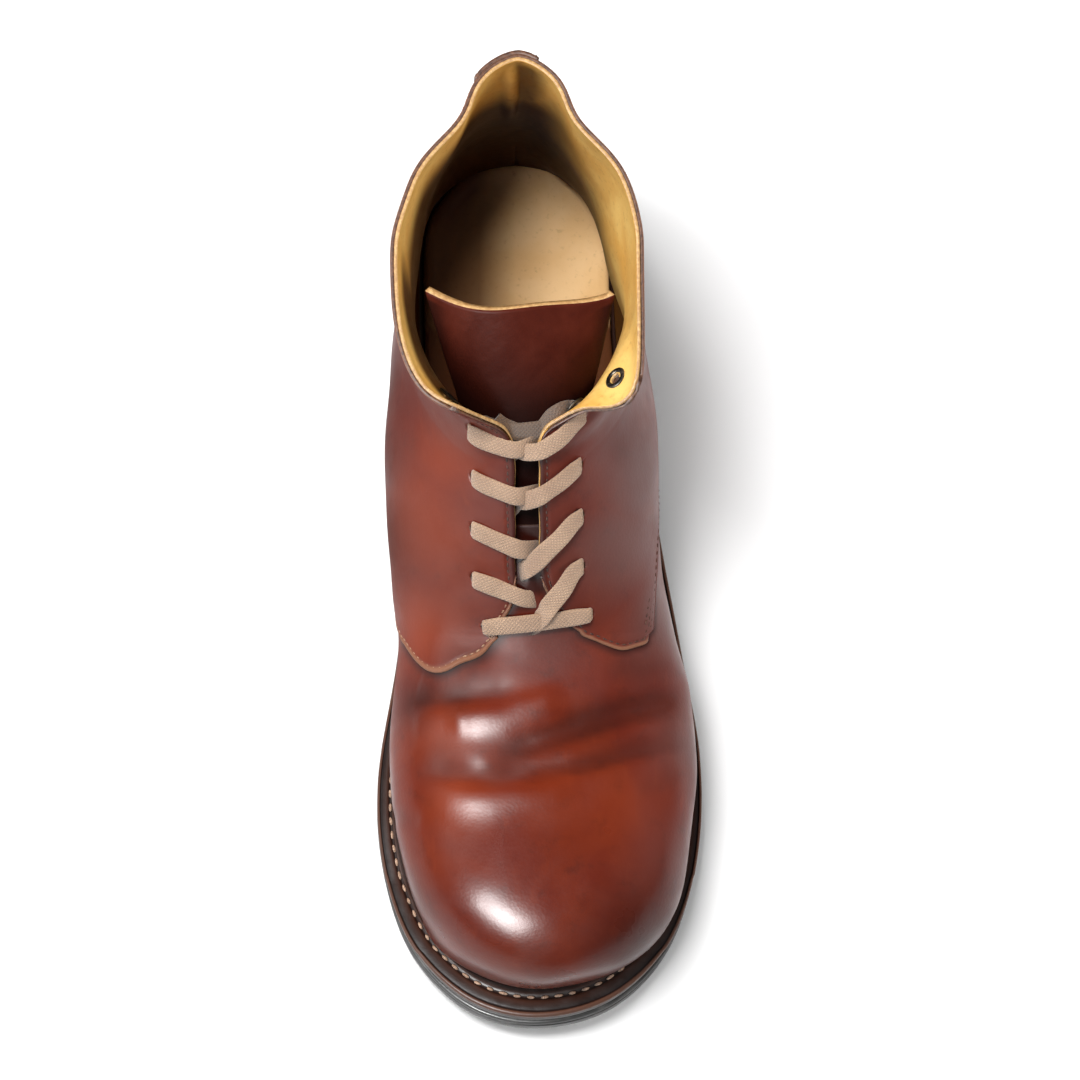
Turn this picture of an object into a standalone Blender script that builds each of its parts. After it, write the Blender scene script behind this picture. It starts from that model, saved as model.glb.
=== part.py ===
"""Lace-up ankle derby boot for the left foot.

Toe toward -Y, heel toward +Y, lateral side toward +X, metres, standing on z = 0.
Every curved piece is worked out from the tables below: the sole outline, the sole line,
and one row for each section of the upper, from the toe feather to the collar.
"""
import functools
import math

import bmesh
import bpy
import numpy as np
from mathutils import Vector

MM = 0.001
GAP = 0.3                      # clearance between pieces that meet, mm

# sole stack, mm
OUTSOLE_THICK = 7.0
MIDSOLE_THICK = 4.0
WELT_THICK = 3.0
SOLE_CHAMFER = 0.8
WELT_CHAMFER = 0.7
MIDSOLE_INSET = 0.6            # inside the outsole's edge
HEEL_INSET = 0.8
HEEL_BREAST_Y = 60.0
TOE_SPRING_Y = -101.0          # the sole curves up in front of this
WELT_REACH = 3.2               # the welt runs in under the upper by this much
INSOLE_CLEAR = 5.0             # outside of the upper to the edge of the footbed
INSOLE_RISE = 3.0              # footbed above the welt

# upper, mm
WALL = 2.4
ROW_STEPS = 2                  # mesh rows for each table row
HEEL_ROWS = (13.75,)           # more rows where the feather line turns round the heel
COLUMNS = 15                   # mesh columns on each side
THROAT = 8                     # section where the facings part

# facings, lace and eyelets, mm
EYELET_ROWS = 6
EYELET_PITCH = 18.4
EYELET_FIRST = {1: 11.0, -1: 7.0}     # throat to first eyelet, lateral and medial
EYELET_SETBACK = 13.0          # facing edge to eyelet centre
EYELET_CLEAR = 0.6             # under the curved wall
EYELET_OUTER = 3.9             # ring radii and thickness
EYELET_BORE = 2.1
EYELET_THICK = 0.6
LACE_WIDTH = 7.2
LACE_THICK = 1.2
LACE_CLEAR = 1.0               # over the outside of the upper
LACE_DROP_MEDIAL = 0.65        # in sections, from the eyelet to the crossing
LACE_DROP_LATERAL = 1.75
FACING_GAP = 4.0               # half the space between the facings
FLAP_FOLD = 6.0                # the last crossing stops short where the flap folds out
FLAP_CLEAR = 0.5               # and stands off the facings by this much more

# tongue and backstay, mm
TONGUE_THICK = 2.2
TONGUE_DEPTH = WALL + EYELET_THICK + 3.0 * EYELET_CLEAR     # below the outside
TONGUE_ROOT_HALF = 24.0
TONGUE_HALF = 31.0
TONGUE_SECTION = 16.4          # where it leaves the facings
TONGUE_TOP = (-9.0, 57.5, 157.5)      # middle of its free edge
TONGUE_TOP_HALF = 30.0
TONGUE_TOP_BOW = (9.0, 4.0)    # how far the free edge's ends lie behind and below
BACKSTAY_HALF = 10.0
BACKSTAY_THICK = 1.5
BACKSTAY_START = 14.8
BACKSTAY_SHIFT = -2.0

WHOLE_ROUND = 2.15             # roundness of the instep under the facings
PINCH_PLACE = 0.16             # where the collar draws in, along a section from the back
PINCH_SPREAD = 0.10

# stations along each piece
SOLE_STATIONS = 38
HEEL_STATIONS = 60
WELT_STATIONS = 46
INSOLE_STATIONS = 34
CURVE_STEPS = 40               # points in each half of a section's curve
TONGUE_ROWS = 16               # under the facings
TONGUE_FREE_ROWS = 4           # and above them
TONGUE_COLUMNS = 11
BACKSTAY_ROWS = 11
BACKSTAY_COLUMNS = 9
LACE_STEPS = 10
EYELET_SEGMENTS = 12

# sole outline, heel to toe on each side: place, x, y
SOLE_OUTLINE = [
    ("toe tip", -1.0, -152.0),
    ("toe corner lateral", 25.0, -145.2),
    ("toe side lateral", 44.5, -125.0),
    ("forefoot lateral", 54.3, -95.0),
    ("joint lateral", 56.0, -60.0),
    ("waist front lateral", 49.6, -20.0),
    ("waist lateral", 40.8, 28.0),
    ("seat front lateral", 34.5, 75.0),
    ("seat lateral", 33.2, 110.0),
    ("heel side lateral", 31.1, 125.7),
    ("heel corner lateral", 26.1, 135.5),
    ("heel turn lateral", 16.9, 145.5),
    ("heel round lateral", 9.8, 149.5),
    ("heel back", -6.0, 152.0),
    ("heel round medial", -21.8, 149.5),
    ("heel turn medial", -28.9, 145.5),
    ("heel corner medial", -38.1, 135.5),
    ("heel side medial", -43.1, 125.7),
    ("seat medial", -45.2, 110.0),
    ("seat front medial", -45.0, 75.0),
    ("waist medial", -44.0, 28.0),
    ("waist front medial", -47.0, -20.0),
    ("joint medial", -54.4, -66.0),
    ("forefoot medial", -52.6, -98.0),
    ("toe side medial", -43.3, -126.0),
    ("toe corner medial", -25.0, -145.6),
]

# sole edge to the outside of the upper at the feather line: place, y, inset
FEATHER_INSET = [
    ("toe tip", -152.0, 9.0),
    ("toe", -125.0, 8.0),
    ("forefoot", -95.0, 6.6),
    ("joint", -60.0, 6.0),
    ("waist", 10.0, 5.0),
    ("heel", 152.0, 4.6),
]

# underside of the outsole: place, y, height
SOLE_LINE = [
    ("toe tip", -152.0, 9.0),
    ("toe spring", -128.0, 3.4),
    ("tread front", -100.0, 0.0),
    ("tread back", -34.0, 0.0),
    ("arch front", 0.0, 5.0),
    ("arch", 30.0, 13.0),
    ("heel breast", 60.0, 18.6),
    ("seat", 90.0, 20.0),
    ("heel back", 152.0, 20.0),
]

# Sections of the upper. Each is one curve from the feather line, or from the back seam, to
# the ridge or the facings. A back height of 0 puts the section's ends on the feather line.
SECTION_COLUMNS = ("backY", "backZ", "frontY", "frontZ", "wideAt", "halfWide", "roundLat",
                   "roundMed", "backPower", "pinch", "lean", "gapLat", "gapMed")
SECTIONS = [
    ("toe feather", -117, 0, -139.3, 21.3, .04, 38.0, 1.74, 1.70, 1.4, 0, .2, 0, 0),
    ("toe wall", -113, 0, -140.2, 34, .10, 40.4, 1.80, 1.73, 1.4, 0, 1.3, 0, 0),
    ("toe brow", -108, 0, -137, 48, .18, 42.3, 1.88, 1.80, 1.4, 0, 2, 0, 0),
    ("toe top", -101, 0, -127, 57.5, .25, 45, 2.03, 1.97, 1.5, 0, 2.1, 0, 0),
    ("toe crown", -92, 0, -112, 62, .30, 47.6, 2.15, 2.12, 1.9, 0, 1.7, 0, 0),
    ("toe back", -79, 0, -90, 62, .33, 50.2, 2.20, 2.20, 2.4, 0, 1.4, 0, 0),
    ("ball", -60, 0, -66, 63, .34, 51.9, 2.20, 2.20, 2.4, 0, 1.3, 0, 0),
    ("vamp", -38, 0, -44, 66, .34, 50.0, 2.20, 2.20, 2.4, 0, 1.2, 0, 0),
    ("throat", -16, 0, -28, 71, .36, 46.8, 2.15, 2.15, 2.4, 0, -.5, 0, 0),
    ("first eyelets", 12, 0, -17, 81, .38, 45.2, 2.15, 2.15, 2.4, 0, -3.5, 4, 4),
    ("waist", 44, 0, -7, 91, .42, 45.0, 2.10, 2.10, 2.4, 0, -5.5, 4, 4),
    ("seat front", 76, 0, 2, 100, .45, 44.6, 2.10, 2.10, 2.4, 0, -5.5, 4, 4),
    ("seat", 106, 0, 9, 107.5, .48, 42.2, 2.10, 2.10, 2.4, 0, -6, 4, 4),
    ("heel curve", 133, 0, 14, 113, .50, 40.0, 2.10, 2.10, 2.5, 0, -6, 4, 4),
    ("heel back", 147.4, 34.3, 18, 117.5, .52, 38.8, 2.10, 2.10, 2.5, 0, -6, 4, 4),
    ("counter", 150.5, 58, 22, 121.5, .54, 38.2, 2.10, 2.10, 2.4, 0, -6.5, 4, 4),
    ("counter top", 148.5, 84, 25, 126, .54, 37.4, 2.20, 2.10, 2.25, .02, -7, 4.5, 4.2),
    ("ankle", 144, 111, 27.5, 131, .53, 37.0, 1.95, 2.10, 2.0, .08, -8, 9, 6),
    ("shaft", 142, 137, 28, 140, .52, 37.4, 3.00, 2.50, 1.75, .17, -8.5, 23, 12),
    ("collar", 143, 162, 29, 151, .52, 38.4, 8.00, 3.20, 1.6, .25, -9, 36.5, 20),
]

COLOURS = {
    "outsole": ((0.020, 0.018, 0.017), 0.45),
    "heel": ((0.020, 0.018, 0.017), 0.45),
    "midsole": ((0.075, 0.035, 0.022), 0.4),
    "welt": ((0.090, 0.040, 0.025), 0.4),
    "insole": ((0.50, 0.27, 0.13), 0.7),
    "upper": ((0.26, 0.055, 0.030), 0.3),
    "tongue": ((0.20, 0.040, 0.024), 0.4),
    "backstay": ((0.26, 0.055, 0.030), 0.3),
    "eyelet": ((0.10, 0.09, 0.08), 0.35),
    "lace": ((0.60, 0.42, 0.27), 0.85),
}


# ---------------------------------------------------------------- curves

def smooth_at(values, u):
    """Catmull-Rom value at position u along a list of rows."""
    count = len(values)
    i = min(max(int(u), 0), count - 2)
    t = u - i
    p1, p2 = values[i], values[i + 1]
    p0 = values[i - 1] if i > 0 else 2 * p1 - p2
    p3 = values[i + 2] if i + 2 < count else 2 * p2 - p1
    return 0.5 * (2 * p1 + (p2 - p0) * t + (2 * p0 - 5 * p1 + 4 * p2 - p3) * t ** 2
                  + (3 * p1 - p0 - 3 * p2 + p3) * t ** 3)


def resample(points, count):
    """The same polyline as count + 1 points evenly along its length."""
    points = np.asarray(points, float)
    along = np.concatenate(([0.0], np.cumsum(np.linalg.norm(np.diff(points, axis=0), axis=1))))
    targets = np.linspace(0.0, along[-1], count + 1)
    return np.stack([np.interp(targets, along, points[:, k]) for k in range(points.shape[1])], 1)


def closed_outline(steps=14):
    table = np.array([row[1:] for row in SOLE_OUTLINE], float)
    wrapped = np.vstack((table[-2:], table, table[:3]))
    count = len(table)
    return np.array([smooth_at(wrapped, 2 + k / steps) for k in range(count * steps)])


@functools.lru_cache(maxsize=None)
def outline_sides(inset, count, follow_feather=False):
    """Lateral and medial halves of the sole outline, toe tip to heel back, moved inward."""
    loop = closed_outline()
    along = np.roll(loop, -1, axis=0) - np.roll(loop, 1, axis=0)
    normal = np.stack((-along[:, 1], along[:, 0]), 1)
    normal /= np.linalg.norm(normal, axis=1)[:, None]
    depth = np.full(len(loop), float(inset))
    if follow_feather:
        depth += [table_value(FEATHER_INSET, y) for y in loop[:, 1]]
    moved = loop + normal * depth[:, None]
    moved = np.roll(moved, -int(np.argmin(moved[:, 1])), axis=0)
    back = int(np.argmax(moved[:, 1]))
    lateral = moved[:back + 1]
    medial = np.vstack((moved[back:], moved[:1]))[::-1]
    return resample(lateral, count), resample(medial, count)


def table_value(table, y):
    """Smooth value at y of a table of place, y, value."""
    places = [row[1] for row in table]
    u = float(np.interp(y, places, range(len(places))))
    return float(smooth_at(np.array([row[2] for row in table], float), u))


def sole_bottom(y):
    return max(0.0, table_value(SOLE_LINE, y))


def toe_lean(y):
    """The sole edge stands square to the toe spring, so its layers step back as they rise."""
    if y > TOE_SPRING_Y:
        return 0.0
    y = max(y, SOLE_LINE[0][1] + 0.5)
    return sole_bottom(y - 0.5) - sole_bottom(y + 0.5)


def on_sole(x, y, height):
    """A point of a sole layer, at a height over the underside."""
    return (x, y + toe_lean(y) * height, sole_bottom(y) + height)


@functools.lru_cache(maxsize=None)
def feather_line(side):
    """Line on the welt where the outside of the upper stands, toe to heel."""
    half = outline_sides(0.0, 200, True)[0 if side > 0 else 1]
    height = OUTSOLE_THICK + MIDSOLE_THICK + WELT_THICK + GAP
    return np.array([on_sole(x, y, height) for x, y in half])


def feather_at(side, y):
    """The feather line's x and z where it crosses y."""
    line = feather_line(side)
    return np.interp(y, line[:, 1], line[:, 0]), np.interp(y, line[:, 1], line[:, 2])


# ---------------------------------------------------------------- upper's own function

class Section:
    """One section of the upper, read from the table at any position between its rows."""

    table = np.array([row[1:] for row in SECTIONS], float)
    last_open = max(k for k, row in enumerate(SECTIONS) if row[2] == 0)

    def __init__(self, u):
        values = dict(zip(SECTION_COLUMNS, smooth_at(self.table, u)))
        self.__dict__.update(values)
        self.u = u
        self.closed = u >= self.last_open + 1
        if not self.closed:
            first_closed = self.table[self.last_open + 1]
            self.backY = min(self.backY, first_closed[0] - 0.2)
            self.backZ = feather_at(1, self.backY)[1]
        if u <= THROAT:
            self.gapLat = self.gapMed = 0.0
        else:
            self.gapLat = max(FACING_GAP, self.gapLat)
            self.gapMed = max(FACING_GAP, self.gapMed)

    def end_half_width(self, side):
        if self.closed:
            return 0.0
        return side * (feather_at(side, self.backY)[0] - self.lean)

    def place(self, x, f):
        """Point at x, a fraction f of the way from the back or bottom to the front or top."""
        return (x, self.backY + (self.frontY - self.backY) * f,
                self.backZ + (self.frontZ - self.backZ) * f)

    def drawn_in(self, f):
        return 1.0 - self.pinch * math.exp(-((f - PINCH_PLACE) / PINCH_SPREAD) ** 2)

    def half_width(self, side, s):
        """Half width in the lower or back part, s = 0 at its end and 1 where it is widest."""
        power = self.backPower
        start = 1.0 - (self.end_width[side] / self.halfWide) ** power
        return self.halfWide * (1.0 - start * (1.0 - s) ** power) ** (1.0 / power)

    def side(self, side, count=COLUMNS, whole=False):
        """Points from the end to the facing edge, or to the ridge of a whole section."""
        self.end_width = {side: self.end_half_width(side)}
        power = self.roundLat if side > 0 else self.roundMed
        gap = self.gapLat if side > 0 else self.gapMed
        if whole:
            power, gap = min(power, WHOLE_ROUND), 0.0
        points = []
        for k in range(CURVE_STEPS):
            s = 1.0 - math.cos(0.5 * math.pi * k / CURVE_STEPS)
            f = s * self.wideAt
            width = self.half_width(side, s) * self.drawn_in(f)
            points.append(self.place(self.lean + side * width, f))
        for k in range(CURVE_STEPS + 1):
            angle = 0.5 * math.pi * k / CURVE_STEPS
            reach = (math.cos(angle) ** power + math.sin(angle) ** power) ** (-1.0 / power)
            f = self.wideAt + (1.0 - self.wideAt) * math.sin(angle) * reach
            width = max(0.0, self.halfWide * math.cos(angle) * reach) * self.drawn_in(f)
            if width <= gap:
                before = np.array(points[-1])
                here = np.array(self.place(self.lean + side * width, f))
                back_width = side * (before[0] - self.lean)
                t = (back_width - gap) / max(back_width - width, 1e-9)
                points.append(tuple(before + (here - before) * t))
                break
            points.append(self.place(self.lean + side * width, f))
        return resample(points, count)


def upper_rows():
    """Positions along the section table that the mesh uses."""
    last = len(SECTIONS) - 1
    return sorted([*np.linspace(0, last, last * ROW_STEPS + 1), *HEEL_ROWS])


def walk(points, distance):
    """Point at a distance along a polyline."""
    steps = np.linalg.norm(np.diff(points, axis=0), axis=1)
    along = np.concatenate(([0.0], np.cumsum(steps)))
    return np.array([np.interp(distance, along, points[:, k]) for k in range(3)])


def facing_point(u, side, distance):
    """Outside of the upper, a distance back from the facing edge."""
    return walk(Section(u).side(side, 60)[::-1], distance)


def ridge_point(u, across):
    """Outside of a whole section, at a signed distance from its ridge."""
    side = 1 if across >= 0 else -1
    return walk(Section(u).side(side, 60, whole=True)[::-1], abs(across))


def back_point(u, across):
    """Outside of the upper, at a signed distance from the back seam."""
    side = 1 if across >= 0 else -1
    return walk(Section(u).side(side, 60), abs(across))


def lace_point(u, across):
    """A point over the facings, or between them on the line from edge to edge."""
    lateral, medial = facing_point(u, 1, 0.0), facing_point(u, -1, 0.0)
    half = 0.5 * np.linalg.norm(lateral - medial)
    if abs(across) > half:
        return facing_point(u, 1 if across > 0 else -1, abs(across) - half)
    return medial + (lateral - medial) * (0.5 + 0.5 * across / half)


def frame_at(surface, u, across, du=0.2, step=1.0):
    """Unit directions at a point of a surface: up the boot, toward lateral, and outward."""
    up = surface(u + du, across) - surface(u - du, across)
    over = surface(u, across + step) - surface(u, across - step)
    out = np.cross(over, up)
    out /= np.linalg.norm(out)
    over /= np.linalg.norm(over)
    return np.cross(out, over), over, out


def facing_section(side, distance):
    """Section at which the facing edge has run a distance from the throat."""
    places = np.linspace(THROAT + 0.01, len(SECTIONS) - 1, 90)
    edge = np.array([facing_point(u, side, 0.0) for u in places])
    along = np.concatenate(([0.0], np.cumsum(np.linalg.norm(np.diff(edge, axis=0), axis=1))))
    return float(np.interp(distance, along, places))


# ---------------------------------------------------------------- mesh helpers

parts = bpy.data.collections.new("derby_boot")


def material_for(kind):
    material = bpy.data.materials.get(kind)
    if material:
        return material
    colour, roughness = COLOURS[kind]
    material = bpy.data.materials.new(kind)
    material.use_nodes = True
    shader = material.node_tree.nodes["Principled BSDF"]
    shader.inputs["Base Color"].default_value = (*colour, 1.0)
    shader.inputs["Roughness"].default_value = roughness
    shader.inputs["Metallic"].default_value = 1.0 if kind == "eyelet" else 0.0
    return material


def add_object(name, kind, bm, sharp=35):
    bmesh.ops.remove_doubles(bm, verts=bm.verts, dist=0.02 * MM)
    bmesh.ops.dissolve_degenerate(bm, edges=bm.edges, dist=0.01 * MM)
    bmesh.ops.recalc_face_normals(bm, faces=bm.faces)
    mesh = bpy.data.meshes.new(name)
    bm.to_mesh(mesh)
    bm.free()
    mesh.shade_smooth()
    mesh.set_sharp_from_angle(angle=math.radians(sharp))
    mesh.materials.append(material_for(kind))
    piece = bpy.data.objects.new(name, mesh)
    parts.objects.link(piece)
    return piece


def loft(rings, bm=None, closed_loop=False, wrap=True):
    """Skin rings that have the same number of points, with flat ends unless they join up."""
    bm = bm or bmesh.new()
    verts = [[bm.verts.new(Vector(p) * MM) for p in ring] for ring in rings]
    count = len(rings[0])
    pairs = list(zip(verts, verts[1:]))
    if closed_loop:
        pairs.append((verts[-1], verts[0]))
    for here, ahead in pairs:
        for k in range(count if wrap else count - 1):
            n = (k + 1) % count
            bm.faces.new((here[k], here[n], ahead[n], ahead[k]))
    if wrap and not closed_loop:
        bm.faces.new(list(reversed(verts[0])))
        bm.faces.new(verts[-1])
    return bm


# ---------------------------------------------------------------- sole

def sole_rings(outline, low, high, chamfer, keep=lambda y: True):
    """Sections of a sole layer, toe to heel, each an eight-point bar across the sole."""
    outer, inner = outline(0.0), outline(chamfer)
    rings = []
    for k in range(len(outer[0])):
        lateral, medial = outer[0][k], outer[1][k]
        lateral_in, medial_in = inner[0][k], inner[1][k]
        if not keep(lateral[1]):
            continue
        rings.append([
            on_layer(lateral_in, low, 0.0), on_layer(lateral, low, chamfer),
            on_layer(lateral, high, -chamfer), on_layer(lateral_in, high, 0.0),
            on_layer(medial_in, high, 0.0), on_layer(medial, high, -chamfer),
            on_layer(medial, low, chamfer), on_layer(medial_in, low, 0.0),
        ])
    return rings


def on_layer(point, height, step):
    x, y = point
    level = height(y) if callable(height) else height
    return on_sole(x, y, level + step)


def make_outsole():
    def outline(step):
        return outline_sides(step, SOLE_STATIONS)
    rings = sole_rings(outline, 0.0, OUTSOLE_THICK, SOLE_CHAMFER)
    return add_object("outsole", "outsole", loft(rings))


def make_midsole():
    def outline(step):
        return outline_sides(MIDSOLE_INSET + step, SOLE_STATIONS)
    rings = sole_rings(outline, OUTSOLE_THICK + GAP, OUTSOLE_THICK + MIDSOLE_THICK, WELT_CHAMFER)
    return add_object("midsole", "midsole", loft(rings))


def make_heel():
    """Heel block, flat underneath and following the outsole on top."""
    def outline(step):
        return outline_sides(HEEL_INSET + step, HEEL_STATIONS)
    rings = sole_rings(outline, lambda y: -sole_bottom(y), -GAP, SOLE_CHAMFER,
                       keep=lambda y: y >= HEEL_BREAST_Y)
    return add_object("heel", "heel", loft(rings))


def make_welt():
    """A strip all round the sole, lying on the midsole, with the upper standing on it."""
    count = WELT_STATIONS
    base = OUTSOLE_THICK + MIDSOLE_THICK
    outer, chamfer = outline_sides(0.0, count), outline_sides(WELT_CHAMFER, count)
    inner = outline_sides(WELT_REACH, count, True)
    rings = []
    for side, order in ((0, range(count + 1)), (1, range(count - 1, 0, -1))):
        for k in order:
            rings.append([
                on_sole(*chamfer[side][k], base + GAP),
                on_sole(*outer[side][k], base + GAP + WELT_CHAMFER),
                on_sole(*outer[side][k], base + WELT_THICK - WELT_CHAMFER),
                on_sole(*chamfer[side][k], base + WELT_THICK),
                on_sole(*inner[side][k], base + WELT_THICK),
                on_sole(*inner[side][k], base + GAP),
            ])
    return add_object("welt", "welt", loft(rings, closed_loop=True))


def make_insole():
    """Footbed inside the welt, resting on the midsole."""
    def outline(step):
        return outline_sides(INSOLE_CLEAR + step, INSOLE_STATIONS, True)
    base = OUTSOLE_THICK + MIDSOLE_THICK
    rings = sole_rings(outline, base + GAP, base + WELT_THICK + INSOLE_RISE, SOLE_CHAMFER)
    return add_object("insole", "insole", loft(rings))


# ---------------------------------------------------------------- upper

def make_upper():
    bm = bmesh.new()
    rows = upper_rows()
    for side in (1, -1):
        grid = [Section(u).side(side) for u in rows]
        loft(grid, bm, wrap=False)
    bmesh.ops.remove_doubles(bm, verts=bm.verts, dist=0.02 * MM)
    upper = add_object("upper", "upper", bm)
    shell = upper.modifiers.new("leather", "SOLIDIFY")
    shell.thickness = WALL * MM
    shell.offset = -1.0
    return upper


# ---------------------------------------------------------------- tongue and backstay

def add_sheet(name, kind, grid, thick):
    """A leather piece from its outside grid, with its thickness inward."""
    piece = add_object(name, kind, loft(grid, wrap=False))
    shell = piece.modifiers.new("leather", "SOLIDIFY")
    shell.thickness = thick * MM
    shell.offset = -1.0
    return piece


def make_tongue():
    """Follows the inside of the facings, then stands on behind the open collar."""
    first, last = THROAT - 0.5, TONGUE_SECTION
    columns = np.linspace(-1.0, 1.0, TONGUE_COLUMNS)
    grid = []
    for u in np.linspace(first, last, TONGUE_ROWS):
        half = TONGUE_ROOT_HALF + (TONGUE_HALF - TONGUE_ROOT_HALF) * (u - first) / (last - first)
        row = []
        for c in columns:
            outward = frame_at(ridge_point, u, c * half)[2]
            row.append(ridge_point(u, c * half) - outward * TONGUE_DEPTH)
        grid.append(row)
    base = np.array(grid[-1])
    bow_back, bow_down = TONGUE_TOP_BOW
    top = np.array([(TONGUE_TOP[0] + TONGUE_TOP_HALF * c, TONGUE_TOP[1] + bow_back * c ** 2,
                     TONGUE_TOP[2] - bow_down * c ** 2) for c in columns])
    for t in np.linspace(0.0, 1.0, TONGUE_FREE_ROWS + 1)[1:]:
        grid.append(base + (top - base) * t)
    grid = [list(reversed(row)) for row in grid]
    return add_sheet("tongue", "tongue", grid, TONGUE_THICK)


def make_backstay():
    """Strip over the back seam, standing proud of the upper."""
    columns = BACKSTAY_SHIFT + np.linspace(-BACKSTAY_HALF, BACKSTAY_HALF, BACKSTAY_COLUMNS)
    grid = []
    for u in np.linspace(BACKSTAY_START, len(SECTIONS) - 1, BACKSTAY_ROWS):
        row = []
        for across in columns:
            outward = -frame_at(back_point, min(u, len(SECTIONS) - 1.2), across)[2]
            row.append(back_point(u, across) + outward * (GAP + BACKSTAY_THICK))
        grid.append(row)
    return add_sheet("backstay", "backstay", grid, BACKSTAY_THICK)


# ---------------------------------------------------------------- eyelets and lace

def eyelet_section(side, row):
    return facing_section(side, EYELET_FIRST[side] + EYELET_PITCH * row)


def make_eyelet(side, row):
    """Blind ring on the inside of the facing, bent to its curve."""
    u = eyelet_section(side, row)

    def surface(place, across):
        return facing_point(place, side, EYELET_SETBACK + side * across)

    rate = np.linalg.norm(surface(u + 0.1, 0.0) - surface(u - 0.1, 0.0)) / 0.2

    def under(angle, radius, depth):
        place, across = u + radius * math.cos(angle) / rate, radius * math.sin(angle)
        out = frame_at(surface, place, across)[2]
        return surface(place, across) - out * (WALL + EYELET_CLEAR + depth)

    rings = []
    for angle in np.linspace(0.0, 2.0 * math.pi, EYELET_SEGMENTS, endpoint=False):
        rings.append([under(angle, EYELET_BORE, 0.0), under(angle, EYELET_OUTER, 0.0),
                      under(angle, EYELET_OUTER, EYELET_THICK),
                      under(angle, EYELET_BORE, EYELET_THICK)])
    name = f"eyelet_{'lateral' if side > 0 else 'medial'}_{row + 1}"
    return add_object(name, "eyelet", loft(rings, closed_loop=True))


def lace_strip(start, end, clear=LACE_CLEAR):
    """Flat strip of lace between two places, each a section and a distance across."""
    path = []
    for t in np.linspace(0.0, 1.0, LACE_STEPS):
        u = start[0] + (end[0] - start[0]) * t
        across = start[1] + (end[1] - start[1]) * t
        out = frame_at(lace_point, u, across)[2]
        path.append((lace_point(u, across), out))
    centres = np.array([point for point, _ in path])
    along = np.gradient(centres, axis=0)
    rings = []
    for (centre, out), ahead in zip(path, along):
        wide = np.cross(out, ahead / np.linalg.norm(ahead)) * LACE_WIDTH * 0.5
        low, high = out * clear, out * (clear + LACE_THICK)
        rings.append([centre - wide + low, centre + wide + low,
                      centre + wide + high, centre - wide + high])
    return loft(rings)


def join_strip(base, name, strip):
    """Union of another strip with a piece of lace."""
    over = add_object(name, "lace", strip)
    parts.objects.unlink(over)
    cutters.objects.link(over)
    over.hide_render = True
    over.display_type = "WIRE"
    union = base.modifiers.new(name, "BOOLEAN")
    union.operation = "UNION"
    union.solver = "EXACT"
    union.object = over


def make_lace():
    """A bar across the first eyelets, joined by the first crossing, then a crossing a row."""
    reach = EYELET_SETBACK + FACING_GAP
    bar = add_object("lace_1", "lace", lace_strip((eyelet_section(-1, 0), -reach),
                                                  (eyelet_section(1, 0), reach)))
    for row in range(1, EYELET_ROWS - 1):
        lateral, medial = eyelet_section(1, row), eyelet_section(-1, row)
        last = row == EYELET_ROWS - 2
        lateral_reach = reach - (FLAP_FOLD if last else 0.0)
        clear = LACE_CLEAR + (FLAP_CLEAR if last else 0.0)
        under = lace_strip((medial, -reach), (medial - LACE_DROP_MEDIAL, FACING_GAP + 1.0), clear)
        over = lace_strip((lateral - LACE_DROP_LATERAL, -FACING_GAP - 1.0),
                          (lateral, lateral_reach), clear)
        if row == 1:
            join_strip(bar, "lace_2_under", under)
            join_strip(bar, "lace_2_over", over)
        else:
            crossing = add_object(f"lace_{row}", "lace", under)
            join_strip(crossing, f"lace_{row}_over", over)


cutters = bpy.data.collections.new("cutters")
for leftover in list(bpy.data.objects):
    bpy.data.objects.remove(leftover, do_unlink=True)
bpy.context.scene.collection.children.link(parts)
bpy.context.scene.collection.children.link(cutters)

make_outsole()
make_heel()
make_midsole()
make_welt()
make_insole()
make_upper()
make_tongue()
make_backstay()
for facing in (1, -1):
    for eyelet_row in range(EYELET_ROWS):
        make_eyelet(facing, eyelet_row)
make_lace()
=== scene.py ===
import functools
import math

import bmesh
import bpy
import numpy as np
from mathutils import Matrix, Vector
from mathutils.kdtree import KDTree


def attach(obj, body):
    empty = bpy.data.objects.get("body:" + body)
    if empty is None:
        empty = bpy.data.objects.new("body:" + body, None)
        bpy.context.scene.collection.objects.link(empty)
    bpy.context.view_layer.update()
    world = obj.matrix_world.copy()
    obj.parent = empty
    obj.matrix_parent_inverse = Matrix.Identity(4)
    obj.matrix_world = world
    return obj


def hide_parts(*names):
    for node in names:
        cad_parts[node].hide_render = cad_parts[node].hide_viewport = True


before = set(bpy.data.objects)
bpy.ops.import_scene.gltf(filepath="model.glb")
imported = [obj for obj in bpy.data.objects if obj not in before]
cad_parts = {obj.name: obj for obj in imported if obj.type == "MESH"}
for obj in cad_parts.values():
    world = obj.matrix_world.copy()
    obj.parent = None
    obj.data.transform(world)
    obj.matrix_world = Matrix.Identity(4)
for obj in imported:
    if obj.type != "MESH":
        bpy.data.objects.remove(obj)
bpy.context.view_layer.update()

rng = np.random.default_rng(11)
mm = 0.001

# the camera comes first, because the whole scene is judged through it
cameraView = {"place": (-0.0569, -0.2835, 1.4699), "aim": (0.0005, 0.0090, 0.050),
              "up": (0.01257, 1.0, 0.0), "lens": 143.5, "sensor": 36.0, "far": 20.0}


def newObject(name, data):
    made = bpy.data.objects.new(name, data)
    bpy.context.scene.collection.objects.link(made)
    return made


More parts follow.
